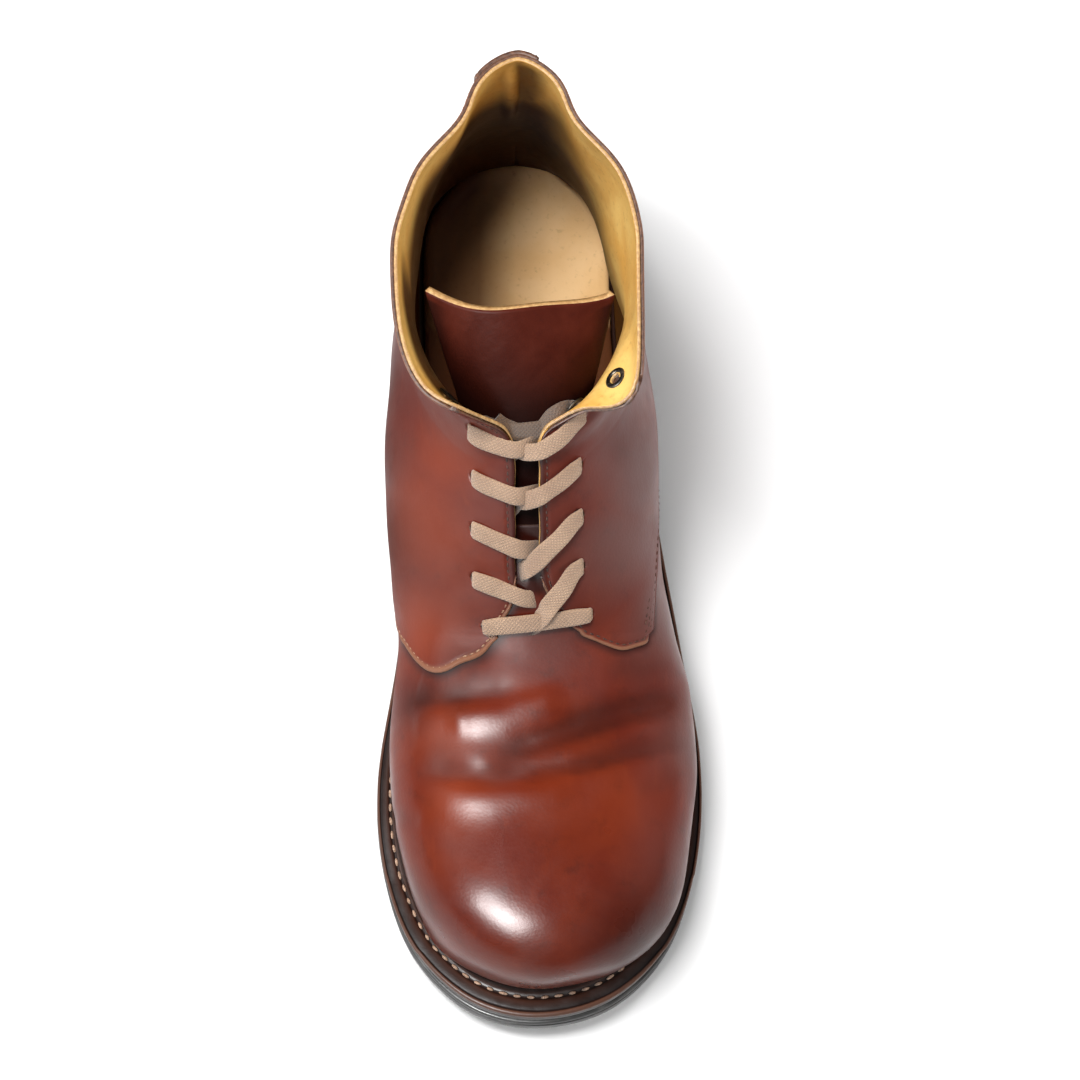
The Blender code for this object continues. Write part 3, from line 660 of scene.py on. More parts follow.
def makeWeltLeather():         # burnished brown, paler on the outer lip, with painted shade in the groove
    look = weltLook
    material, tree, shader = newMaterial("weltLeather", Coat_Weight=0.06, Coat_Roughness=0.3,
                                         Specular_IOR_Level=0.2)
    place = objectPlace(tree)
    streak, fine = noiseOf(tree, place, *look["streak"]), noiseOf(tree, place, *look["fine"])
    colour = addPaint(tree, look["top"], look, "lip")
    colour = mixColour(tree, remap(tree, streak, *look["streakShare"]), colour, look["top"])
    colour = addPaint(tree, colour, look, "groove")
    bump = bumpFrom(tree, streak, *look["streakBump"])
    bump = bumpFrom(tree, fine, *look["fineBump"], bump)
    finish(tree, shader, colour, remap(tree, streak, *look["roughness"]), bump)
    return material


soleLook = {"scuffStretch": (1, 1, 2.2), "scuff": (85, 5, 0.65, 0.5), "fine": (900, 3, 0.6),
            "scuffShare": (0.48, 0.72, 0.0, 0.85), "join": (0.006, 0.005, 0.005, 1),
            "scuffRough": (0.3, 0.7), "joinWaver": 0.15, "joinThin": (0.0, 0.10), "fineShare": 0.2,
            "scuffBump": (0.25, 0.0006), "fineBump": (0.3, 0.0002)}


def makeSoleBlack(name, base, wearAndShade, rough, lines=0.0):
    look = soleLook
    material, tree, shader = newMaterial(name)
    place = objectPlace(tree)
    scuff = noiseOf(tree, objectPlace(tree, look["scuffStretch"]), *look["scuff"])
    height = fine = noiseOf(tree, place, *look["fine"])
    colour = mixColour(tree, remap(tree, scuff, *look["scuffShare"]), base, wearAndShade)
    if lines:                  # joins between the heel's lifts
        layers = addNode(tree, "TexWave", {"Vector": place, "Scale": lines,
                                           "Distortion": look["joinWaver"]},
                         wave_type="BANDS", bands_direction="Z").outputs["Fac"]
        thin = remap(tree, layers, *look["joinThin"])
        colour = mixColour(tree, combine(tree, "SUBTRACT", 1.0, thin), colour, look["join"])
        height = combine(tree, "ADD", combine(tree, "MULTIPLY", fine, look["fineShare"]), thin)
    bump = bumpFrom(tree, scuff, *look["scuffBump"])
    bump = bumpFrom(tree, height, *look["fineBump"], bump)
    rough = remap(tree, scuff, *look["scuffRough"], *rough)
    finish(tree, shader, colour, rough, bump)
    return material


eyeletLook = {"dark": (0.045, 0.042, 0.040, 1), "rubbed": (0.20, 0.17, 0.13, 1),
              "wearAndShade": (420, 4, 0.65), "wornShare": (0.45, 0.7), "bump": (0.15, 0.0002),
              "roughness": (0.3, 0.7, 0.42, 0.62)}


def makeEyeletMetal():
    look = eyeletLook
    material, tree, shader = newMaterial("darkEyeletMetal", Metallic=1.0)
    wearAndShade = noiseOf(tree, objectPlace(tree), *look["wearAndShade"])
    colour = mixColour(tree, remap(tree, wearAndShade, *look["wornShare"]), look["dark"],
                       look["rubbed"])
    finish(tree, shader, colour, remap(tree, wearAndShade, *look["roughness"]),
           bumpFrom(tree, wearAndShade, *look["bump"]))
    return material


upperLeather = makeUpperLeather()
fleshSide = makeCutEdge("fleshSide", (0.30, 0.15, 0.07, 1), (0.18, 0.08, 0.04, 1), 300.0)
brownEdge = makeCutEdge("brownCutEdge", (0.17, 0.075, 0.040, 1), (0.055, 0.020, 0.011, 1))
paleEdge = makeCutEdge("paleCutEdge", (0.66, 0.42, 0.18, 1), (0.42, 0.22, 0.08, 1))
liningLeather, footbedLeather, tongueLeather = map(makeSoftLeather, softLooks)
laceWeave = makeLaceWeave()
paleThread = makeThread("paleThread", (0.60, 0.40, 0.28, 1), (0.28, 0.16, 0.10, 1))
brownThread = makeThread("brownThread", (0.110, 0.042, 0.026, 1), (0.035, 0.012, 0.008, 1))
tanThread = makeThread("tanThread", (0.52, 0.33, 0.20, 1), (0.24, 0.11, 0.06, 1))
weltLeather = makeWeltLeather()
soleBlack = makeSoleBlack("blackSole", (0.020, 0.019, 0.018, 1), (0.060, 0.056, 0.052, 1),
                          (0.34, 0.55))
edgeDressing = makeSoleBlack("dressedMidsole", (0.022, 0.013, 0.010, 1),
                             (0.055, 0.030, 0.021, 1), (0.32, 0.5))
heelLifts = makeSoleBlack("heelLifts", (0.022, 0.018, 0.016, 1), (0.060, 0.048, 0.040, 1),
                          (0.30, 0.5), 58.0)
eyeletMetal = makeEyeletMetal()
upperSkins = [upperLeather, fleshSide, brownEdge]
print("materials made")


# sole: each layer is a ring of (mm in from the sole's edge, height over its underside); the
# inner columns stop clear of the far side
soleForm = {"stations": 190, "inner": 10.0, "bevel": 0.5, "bevelSteps": 3, "bevelAngle": 32}
outsoleRing = [(soleForm["inner"], 0.0), (9.0, 0.0), (1.6, 0.0), (0.5, 0.35), (0.1, 1.1),
               (0.0, 2.4), (0.05, 3.9), (0.45, 4.3), (0.45, 4.7), (0.05, 5.1), (0.0, 6.0),
               (0.4, 6.75), (1.2, 7.0), (9.0, 7.0), (soleForm["inner"], 7.0)]
midsoleRing = [(soleForm["inner"], 7.3), (1.6, 7.3), (0.9, 7.6), (0.65, 8.4), (0.6, 9.2),
               (0.65, 10.1), (0.9, 10.7), (1.6, 11.0), (9.0, 11.0), (soleForm["inner"], 11.0)]
heelForm = {"top": -0.3, "topInset": 1.2, "reach": 0.9, "inset": 0.8, "swell": 0.12,
            "wave": 2.1, "lifts": 8, "side": (0.1, 0.95),
            "chamfer": ((1.8, 0.0), (1.1, 0.3), (0.8, 1.1))}


def heelRing():                # up from the ground, whatever the height of the sole over it
    form = heelForm
    foot = ((soleForm["inner"], 0.0),) + form["chamfer"]
    ring = [(inset, lambda y, h=height: h - soleBottom(y)) for inset, height in foot]
    start = form["chamfer"][-1][1]
    for k, f in enumerate(np.linspace(*form["side"], form["lifts"])):
        ring.append((form["inset"] + form["swell"] * math.sin(k * form["wave"]),
                     lambda y, f=f: (start - soleBottom(y)) * (1 - f) - form["reach"] * f))
    return ring + [(form["topInset"], form["top"]), (soleForm["inner"], form["top"])]


def soleLayer(name, ring, material, node, keepFrom=None):
    form = soleForm
    halves = {inset: outlineSides(inset, form["stations"]) for inset, _ in ring}
    rows = range(form["stations"] + 1)
    if keepFrom is not None:
        rows = [k for k in rows if halves[ring[0][0]][0][k][1] >= keepFrom]
    points = []
    for k in rows:
        line = []
        for half, insets in ((0, ring), (1, reversed(ring))):
            for inset, height in insets:
                x, y = halves[inset][half][k]
                line.append(onSole(x, y, height(y) if callable(height) else height))
        points.append(line + line[:1])
    bm = gridThrough(points)[0]
    closeSeams(bm)
    if keepFrom is not None:   # the breast face
        bmesh.ops.holes_fill(bm, edges=[e for e in bm.edges if e.is_boundary], sides=0)
        bmesh.ops.recalc_face_normals(bm, faces=bm.faces)
    piece = addPiece(name, bm, [material], [node])
    bevel = piece.modifiers.new("softEdges", "BEVEL")
    bevel.width, bevel.segments = form["bevel"] * mm, form["bevelSteps"]
    bevel.limit_method, bevel.angle_limit = "ANGLE", math.radians(form["bevelAngle"])


soleLayer("outsole_black", outsoleRing, soleBlack, "outsole")
soleLayer("midsole_edge", midsoleRing, edgeDressing, "midsole")
soleLayer("stacked_heel", heelRing(), heelLifts, "heel", soleStack["heelBreast"])
print("sole and heel made")

# welt: burnished lip, stitch groove, and the strip that runs in under the upper
weltForm = {"stations": 340, "stitchIn": 2.7, "grooveWide": 0.75, "grooveDeep": 0.55,
            "base": 11.3, "top": 14.0, "under": 3.2}
weltThread = {"pitch": 4.7, "length": 2.8, "width": 1.1, "height": 0.85, "sunk": 0.15}
# rows of the strip's outline: "in" is mm out from the feather line, "out" is mm in from the
# outer edge, then mm over the base (the lip) or from the top (the others); the groove's rows
# are mm to either side of the stitches
weltRows = {"lip": (("out", 0.8, 0), ("out", 0.15, 0.5), ("out", 0.0, 1.2)),
            "edge": (("out", 0.15, -0.5), ("out", 0.6, -0.1), ("out", 1.1, 0.05),
                     ("out", 1.6, -0.2), ("out", 1.9, -0.45), ("out", 2.2, -0.15)),
            "groove": (1.6, 1.0, 0.6, 0.3, 0.0, -0.3, -0.6, -1.0, -1.6),
            "inner": (("in", 0.6, 0), ("in", -1.2, 0))}
# paint: the paler outer lip, and painted shade in the crease behind it, along the stitch seam and
# in the corner at the upper
weltShades = {"lipWide": 1.5, "lipLow": 1.0, "creaseWide": 2.3, "crease": 1.0, "seamWide": 0.7,
              "seam": 0.75, "cornerWide": 0.7, "corner": 0.6}


def weltRing():
    form, under = weltForm, ("in", -weltForm["under"])
    rows = [under + (form["base"],)]
    rows += [(kind, far, form["base"] + up) for kind, far, up in weltRows["lip"]]
    rows += [(kind, far, form["top"] + up) for kind, far, up in weltRows["edge"]]
    for step in weltRows["groove"]:
        sink = form["grooveDeep"] * math.exp(-(step / form["grooveWide"]) ** 4)
        rows.append(("in", form["stitchIn"] + step, form["top"] - sink))
    rows += [(kind, far, form["top"] + up) for kind, far, up in weltRows["inner"]]
    return rows + [under + (form["top"],)]


def weltPaint(kind, far, height):      # lip and groove paint of one row of the outline
    shades, out = weltShades, kind == "out"
    lip = out and far < shades["lipWide"] and height > weltForm["base"] + shades["lipLow"]
    if out:
        dark = shades["crease"] * (shades["lipWide"] < far < shades["creaseWide"])
    elif abs(far - weltForm["stitchIn"]) < shades["seamWide"]:
        dark = shades["seam"]
    else:
        dark = shades["corner"] * (far < shades["cornerWide"])
    return float(lip), dark


def weltLoop(outer, feather, kind, distance, height):
    gap = np.linalg.norm(outer - feather, axis=1)
    share = distance / gap if kind == "in" else 1.0 - distance / gap
    flat = feather + (outer - feather) * share[:, None]
    return np.array([onSole(x, y, height) for x, y in flat])


def closedHalves(sides):
    return np.vstack((sides[0], sides[1][::-1][1:-1]))


def makeWelt():
    form, half = weltForm, weltForm["stations"] // 2
    outer = closedHalves(outlineSides(0.0, half))
    feather = closedHalves(outlineSides(0.0, half, 1.0))
    rows = weltRing()
    loops = [weltLoop(outer, feather, *row) for row in rows + rows[:1]]
    loops = np.array([np.vstack((loop, loop[:1])) for loop in loops])
    bm, _, across = gridThrough(loops.transpose(1, 0, 2))
    shades = np.array([weltPaint(*row) for row in rows] + [(0.0, 0.0)])
    paintVerts(bm, "lip", shades[across, 0])
    paintVerts(bm, "groove", shades[across, 1])
    closeSeams(bm)
    addPiece("welt_strip", bm, [weltLeather], ["welt"])
    centre = weltLoop(outer, feather, "in", form["stitchIn"], form["top"] - weltThread["sunk"])
    bm = bmesh.new()
    ring = np.vstack((centre, centre[:1]))
    sewRow(bm, ring, np.tile((0.0, 0.0, 1.0), (len(ring), 1)), weltThread)
    addPiece("welt_stitching", bm, [paleThread])


makeWelt()
print("welt sewn")

# footbed: its outline as (mm in from the clearance, mm over the bottom or from the top)
footbedForm = {"clear": 2.7, "low": 11.3, "high": 17.0, "middle": 9.0, "dish": 0.9,
               "stations": 150, "edge": ((0.8, 0), (0, 0.8)),
               "rim": ((0, -1.2), (0.5, -0.4), (1.6, 0), (4, -0.35)), "across": (0.25, 0.5, 0.75),
               "wearAndShade": 0.90, "medialShadeAcross": (-24, 3), "heelShade": 0.12, "heelFrom": (114, 138),
               "shadeAhead": (92, 7), "most": 0.97}


def makeFootbedPiece():
    form = footbedForm
    ring = [(form["middle"], form["low"])]
    ring += [(form["clear"] + inset, form["low"] + up) for inset, up in form["edge"]]
    ring += [(form["clear"] + inset, form["high"] + up) for inset, up in form["rim"]]
    ring.append((form["middle"], form["high"] - form["dish"]))
    halves = {inset: outlineSides(inset, form["stations"], 1.0) for inset, _ in ring}
    points = []
    for k in range(form["stations"] + 1):
        lateral, medial = [[onSole(*halves[i][half][k], h) for i, h in ring] for half in (0, 1)]
        inner = [lateral[-1] + (medial[-1] - lateral[-1]) * f for f in form["across"]]
        lower = [medial[0] + (lateral[0] - medial[0]) * f for f in form["across"]]
        points.append(lateral + inner + medial[::-1] + lower + lateral[:1])
    bm, placed, _ = gridThrough(points)
    x, y = placed[:, 0], placed[:, 1]
    # painted shadow: darker toward the medial wall and the heel, where the walls shade the
    # footbed, and ahead where the tongue shades it
    wearAndShade = form["wearAndShade"] * (1 - smoothStep(x, *form["medialShadeAcross"])) + (
        form["heelShade"] * smoothStep(y, *form["heelFrom"]))
    ahead, reach = form["shadeAhead"]
    paintVerts(bm, "deep", np.clip(np.maximum(wearAndShade, smoothStep(ahead - y, 0, reach)), 0,
                                   form["most"]))
    closeSeams(bm)
    addPiece("footbed", bm, [footbedLeather], ["insole"])


makeFootbedPiece()
print("footbed laid")

# creases and colour of the upper, placed in the boot's own mm: path of (x, y), depth
# (a ridge is positive), spread toward the toe, spread toward the heel
creases = [
    ([(-46, -43), (-42.5, -45.4), (-30, -46.6), (-19, -47.0), (-6, -48)], -1.0, 3.0, 7.5),
    ([(-44, -52.5), (-34, -52.5), (-24, -52)], 0.8, 7.0, 3.0),
    ([(-33, -51.5), (-24, -51.5), (-13, -50.5), (-3, -48.5), (9, -45)], 1.7, 8.5, 3.0),
    ([(-20, -68.5), (-8, -64), (4, -60), (16, -56), (30, -51.5), (42, -48), (54, -44)],
     -1.9, 4.0, 5.5),
    ([(2, -68), (16, -64), (30, -58.5), (44, -54)], 0.5, 3.5, 3.0),
    ([(-46, -67.5), (-41, -70.4), (-30.6, -73.6), (-16.4, -75.4), (0, -74.3), (16.5, -70.6),
      (34, -65.3), (56, -60)], -1.0, 1.3, 6.0),
    ([(-40, -74.5), (-30, -77.5), (-16, -79), (0, -78), (14, -75)], 1.45, 6.5, 4.0),
    ([(-38, -62), (-28, -65), (-14, -67), (-4, -67)], 0.35, 3.0, 3.0),
    ([(20, -40), (34, -38), (46, -33)], -0.5, 4.0, 4.0),
    ([(-52, -80), (-47, -84), (-40, -87)], -0.35, 2.0, 3.0),
    ([(47, -70), (40, -75), (30, -79)], -0.30, 2.0, 3.0),
    ([(-10, -71), (8, -69.5), (22, -66)], -0.30, 1.0, 1.4),
]
# x, y, z, reach, strength
# warm orange tone, partly the leather's own and partly painted light where the medial side faces
# the lamps
warmToneAndLightPatches = [(-31, -57, 56, 11, .75), (-29, -81, 57, 11, .80), (28, -82, 58, 15, .30),
               (-40, -22, 62, 14, .80), (-37, 10, 78, 19, .80), (-30, 26, 100, 15, .60),
               (-12, -140, 42, 16, .35), (-36, -100, 50, 12, .25), (-33, 60, 130, 18, .25),
               (4, -84, 61, 12, .25), (20, -30, 70, 10, .15)]
# painted shade: the lateral toe and toe front turned from the lamps, the steep medial side, crease
# troughs, and dark spots at the throat and by the crisp crease that damp the glare
paintedShadePatches = [(-43, -47, 49, 9, .60), (-28, -47, 60, 7, .35), (30, -124, 38, 22, .92),
               (-46, -112, 36, 14, .50), (8, -101, 61, 18, .22), (18, -60, 62, 13, .30),
               (-26, -34, 64, 7, .45), (0, -145, 28, 24, .45), (30, -34, 62, 8, .25),
               (-48, 60, 70, 24, .55), (-47, 10, 58, 18, .65), (-48, 34, 66, 18, .55),
               (12, -118, 55, 12, .18), (-6, 146, 60, 22, .25), (4, -28, 70, 13, .35),
               (-34, -66, 58, 7, .30), (-14, -66, 61, 8, .30), (8, -142, 30, 20, .4)]
# painted sheen: the greyish pink reflection of the pale surroundings, painted onto the lateral
# quarter, vamp and toe
paintedSheenPatches = [(26, 0, 84, 20, .80), (34, 20, 95, 22, .90), (26, 45, 130, 20, .85),
               (46, -100, 40, 16, .35), (48, -60, 44, 14, .60), (34, 70, 110, 24, .75),
               (40, -20, 60, 16, .75), (14, 18, 100, 10, .45)]
# where the wax has gone dull, so the key light spreads
dullPatches = [(-20, -34, 67, 15, 1.0), (0, -32, 68, 16, .5), (18, -34, 66, 14, .4),
               (-30, -69, 59, 8, 1.0), (-14, -70, 61, 8, 1.0),
               (-22, -20, 74, 12, .9), (0, 20, 95, 30, .5), (-46, 8, 56, 26, 1.0),
               (-44, 44, 84, 34, 1.0), (-40, 84, 120, 40, .9), (-52, -30, 36, 20, .8),
               (-30, 16, 90, 20, .6)]
upperPaint = {"creaseTaper": 0.22, "flatten": (1.0, 1.0, 0.7)}       # patches reach farther up
# leather never lies quite smooth: a broad swell and a finer one, each of two crossing waves,
# by how many mm a wave takes across, along or up, and where it starts
rippleWaves = {"across": (8.3, 13.0, 1.0), "along": (9.7, 11.0), "size": 0.6,
               "fineAcross": (4.9, 6.1, 2.0), "fineAlong": (5.7, 0.7)}


def nearPath(x, y, path):      # signed distance to a path, positive toward the heel, and share
    path = np.array(path, float)
    best = np.full(x.shape, np.inf)
    signed, share = np.zeros(x.shape), np.zeros(x.shape)
    run = runLength(path)
    for k in range(len(path) - 1):
        step = path[k + 1] - path[k]
        size = np.linalg.norm(step)
        t = np.clip(((x - path[k, 0]) * step[0] + (y - path[k, 1]) * step[1]) / size ** 2, 0, 1)
        dx, dy = x - path[k, 0] - t * step[0], y - path[k, 1] - t * step[1]
        distance = np.hypot(dx, dy)
        closer = distance < best
        side = np.sign(step[0] * dy - step[1] * dx)
        best = np.where(closer, distance, best)
        signed = np.where(closer, distance * side, signed)
        share = np.where(closer, (run[k] + t * size) / run[-1], share)
    return signed, share


def creaseHeight(points):
    x, y = points[:, 0], points[:, 1]
    height = np.zeros(len(points))
    for path, depth, front, back in creases:
        signed, share = nearPath(x, y, path)
        if path[0][0] > path[-1][0]:
            signed = -signed
        spread = np.where(signed < 0, front, back)
        taper = smoothStep(np.minimum(share, 1 - share), 0.0, upperPaint["creaseTaper"])
        height += depth * taper * np.exp(-(signed / spread) ** 2)
    return height


def patchSum(points, patches):
    total = np.zeros(len(points))
    for x, y, z, reach, strength in patches:
        near = np.linalg.norm((points - (x, y, z)) * upperPaint["flatten"], axis=1) / reach
        total = np.maximum(total, strength * np.exp(-near ** 2))
    return total


def ripple(points, size):
    x, y, z = points.T
    form = rippleWaves
    (a, b, start), (c, d) = form["across"], form["along"]
    (e, f, fineStart), (g, alongStart) = form["fineAcross"], form["fineAlong"]
    return size * (np.sin(x / a + y / b + start) * np.sin(y / c - z / d)
                   + form["size"] * np.sin(x / e - z / f + fineStart)
                   * np.sin(y / g + alongStart))


def paintLeather(bm, points, edge):
    for name, patches in (("warm", warmToneAndLightPatches), ("deep", paintedShadePatches), ("paintedSheen", paintedSheenPatches),
                          ("dull", dullPatches)):
        paintVerts(bm, name, patchSum(points, patches))
    paintVerts(bm, "edge", edge)


# vamp: one piece from feather to feather, in under the quarters and down to the tongue; pairs
# are the places, in u or t, between which something sets in
vampForm = {"columns": 230, "rows": 150, "to": 10.9, "toPower": 1.06, "ridgeCrowd": 0.04,
            "ripple": 0.25, "underQuarters": -0.55, "wall": 1.5, "hidden": (0.12, 0.45),
            "creasesEnd": (8.2, 8.8), "feather": (0.0, 0.10), "middle": (0.72, 0.92),
            "dip": 4.0, "dipFrom": (9.35, 10.6), "sideDip": 1.6, "sideDipFrom": (9.2, 10.2),
            "foldShade": 0.42, "foldMost": 1.2, "footShade": 0.82, "footReach": (0.25, 0.22),
            "edgeShade": 0.97, "edgeReach": {1: 2.1, -1: 3.0}, "throatFrom": (8.9, 9.25),
            "throatMiddle": (0.80, 0.88)}
frontCurves = {                # section and t along the front edge of each quarter
    -1: [(9.5, 1.0), (8.9, .97), (8.45, .92), (7.9, .82), (7.6, .76), (7.45, .68), (7.3, .61),
         (7.3, .55), (7.45, .49), (7.8, .40), (7.95, .35), (8.6, .22), (9.3, .10), (9.9, 0)],
    1: [(9.5, 1.0), (8.8, .97), (8.4, .93), (8.15, .90), (7.95, .81), (7.8, .75), (7.7, .69),
        (7.75, .63), (7.85, .565), (8.05, .55), (8.6, .51), (9.3, .45), (9.75, .40),
        (10.2, .30), (10.4, .15), (10.5, 0)]}


def frontCurve(side):          # even along its real length
    control = np.array(frontCurves[side], float)
    fine = np.array([smoothAt(control, k) for k in np.linspace(0, len(control) - 1,
                                                               curveForm["frontSteps"])])
    fine[:, 1] = np.clip(fine[:, 1], 0, 1)
    run = runLength(upperSurface.point(side, fine[:, 0], fine[:, 1]))
    targets = np.linspace(0, run[-1], curveForm["frontPoints"] + 1)
    return np.stack([np.interp(targets, run, fine[:, k]) for k in range(2)], 1)


def behindFront(side, u, t):             # sections behind the quarter's front edge
    curve = frontCurve(side)
    order = np.argsort(curve[:, 1])
    return u - np.interp(t, curve[order, 1], curve[order, 0])


def awayFrom(points, line):              # distance from each point to the nearest on a line
    tree = KDTree(len(line))
    for k, point in enumerate(line):
        tree.insert(Vector(point), k)
    tree.balance()
    return np.array([tree.find(Vector(point))[2] for point in points])


def makeVamp():
    form = vampForm
    bm, a, b = newGrid(form["columns"], form["rows"])
    side = np.where(a < 0.5, -1, 1)
    t = 1.0 - np.abs(2 * a - 1)
    t = t + form["ridgeCrowd"] * np.sin(2 * np.pi * t) / (2 * np.pi)
    u = form["to"] * b ** form["toPower"]
    points, normals = eachSide(wholeSurface, side, u, t)
    hidden = smoothStep(np.where(side > 0, behindFront(1, u, t), behindFront(-1, u, t)),
                        *form["hidden"])
    crease, middle = creaseHeight(points), smoothStep(t, *form["middle"])
    offset = crease * (1 - smoothStep(u, *form["creasesEnd"])) + ripple(points, form["ripple"])
    offset = offset * smoothStep(t, *form["feather"]) * (1 - hidden) + (
        form["underQuarters"] * hidden)
    offset -= form["dip"] * smoothStep(u, *form["dipFrom"]) * middle
    offset -= form["sideDip"] * smoothStep(u, *form["sideDipFrom"]) * (1 - middle) * hidden
    placeVerts(bm, points + normals * offset[:, None])
    paintLeather(bm, points, np.zeros(len(u)))
    # painted shade: in the crease troughs, low along the feather and beside the quarters' edges
    start, reach = form["footReach"]
    low = form["footShade"] * smoothStep(start - t, 0.0, reach)
    for which, reach in form["edgeReach"].items():     # shadow the quarters' edges throw
        line = upperSurface.point(which, *frontCurve(which).T)
        low = np.maximum(low, form["edgeShade"] * np.exp(-(awayFrom(points, line) / reach) ** 2))
    # painted shade in the throat, between the facings
    low = np.maximum(low, form["edgeShade"] * smoothStep(u, *form["throatFrom"])
                     * smoothStep(t, *form["throatMiddle"]))
    deep = bm.verts.layers.float["deep"]
    fold = np.clip(-crease, 0, form["foldMost"]) * form["foldShade"]
    for vert, more, dark in zip(bm.verts, fold, low):
        vert[deep] = min(1.0, max(vert[deep] + float(more), float(dark)))
    closeSeams(bm, 0.01)
    addPiece("vamp", bm, upperSkins, wall=form["wall"])


makeVamp()
print("vamp made")

# quarters: punched for the lace, with a raw edge, over the vamp. A seam's groove is (depth,
# middle, reach) in mm; the tight place, in metres, is where the sections crowd over the waist
quarterForm = {
    "out": 1.0, "wall": 1.3, "columns": 190, "rows": 150, "crowd": (0.06, 0.75),
    "ripple": 0.22, "rippleFrom": (0, 8), "facingFrom": 9.3, "edgeDrop": 0.35,
    "edgeWide": (0, 0.9), "rimSeam": (0.22, 2.3, 0.7), "frontSeam": (0.18, 1.9, 0.6),
    "tab": (0.5, -33, -30, 60), "tightY": (0.058, 0.116), "tightZ": (0.050, 0.098),
    "passes": 14, "ease": 0.5, "paleFrom": (0.54, 0.58), "collar": (1.6, 3.4),
    "collarEdge": 0.75, "frontEdge": 0.9, "band": {1: (0.7, 1.7), -1: (1.2, 2.8)},
    "gapShade": 0.75, "gapWide": (0.5, 3.2), "gapTo": 17.6, "frontShade": 0.85,
    "frontWide": (0.2, 1.1)}
flareForm = {"out": 1.8, "up": (17.6, 19.0), "across": (0.42, 0.60), "ease": 0.6,
             "easeAcross": (0.9, 1.0)}
collarCorner = {1: 8.0, -1: 4.5}         # rounding where the facing meets the collar, mm
holeForm = {"radius": 2.15, "liningRadius": 2.0, "pull": 0.55, "near": 1.5, "cut": 0.93}


def roundCorner(side, u, t, radius):     # pull the square corner in to an arc
    rate = float(np.linalg.norm(upperSurface.point(side, topSection, 1.0)
                                - upperSurface.point(side, topSection - 1, 1.0)))
    length = float(upperSurface.sectionLength(side, topSection))
    fromTop, fromEdge = (topSection - u) * rate, (1 - t) * length
    inside = (fromTop < radius) & (fromEdge < radius)
    dx, dy = radius - fromTop, radius - fromEdge
    scale = np.where(inside, np.maximum(dx, dy) / np.maximum(np.hypot(dx, dy), 1e-6), 1.0)
    newTop = np.where(inside, radius - dx * scale, fromTop)
    newEdge = np.where(inside, radius - dy * scale, fromEdge)
    return topSection - newTop / rate, 1 - newEdge / length


def punchHoles(bm, centres, radius):
    form = holeForm
    bm.verts.ensure_lookup_table()
    where = np.array([v.co for v in bm.verts]) / mm
    gone = set()
    for centre in centres:
        away = where - centre
        distance = np.linalg.norm(away, axis=1)
        for k in np.where(abs(distance - radius) < form["pull"])[0]:
            bm.verts[int(k)].co = Vector((centre + away[k] * radius / distance[k]) * mm)
        for vert in [bm.verts[int(k)] for k in np.where(distance < radius + form["near"])[0]]:
            for face in vert.link_faces:
                middle = np.array(face.calc_center_median()) / mm
                if np.linalg.norm(middle - centre) < radius * form["cut"]:
                    gone.add(face)
    bmesh.ops.delete(bm, geom=list(gone), context="FACES")
    loose = [v for v in bm.verts if not v.link_faces]
    bmesh.ops.delete(bm, geom=loose, context="VERTS")


def flare(side, u, t):         # the medial front of the collar turns out a little, mm
    form = flareForm
    if side > 0:
        return np.zeros(len(u))
    return form["out"] * smoothStep(u, *form["up"]) * smoothStep(t, *form["across"]) * (
        1 - form["ease"] * smoothStep(t, *form["easeAcross"]))


def groove(distance, depth, middle, reach):      # the furrow that a row of stitches pulls
    return depth * np.exp(-((distance - middle) / reach) ** 2)


def belowCollar(side, u, t, points):
    return np.linalg.norm(points - upperSurface.point(side, np.full(len(u), topSection), t),
                          axis=1)


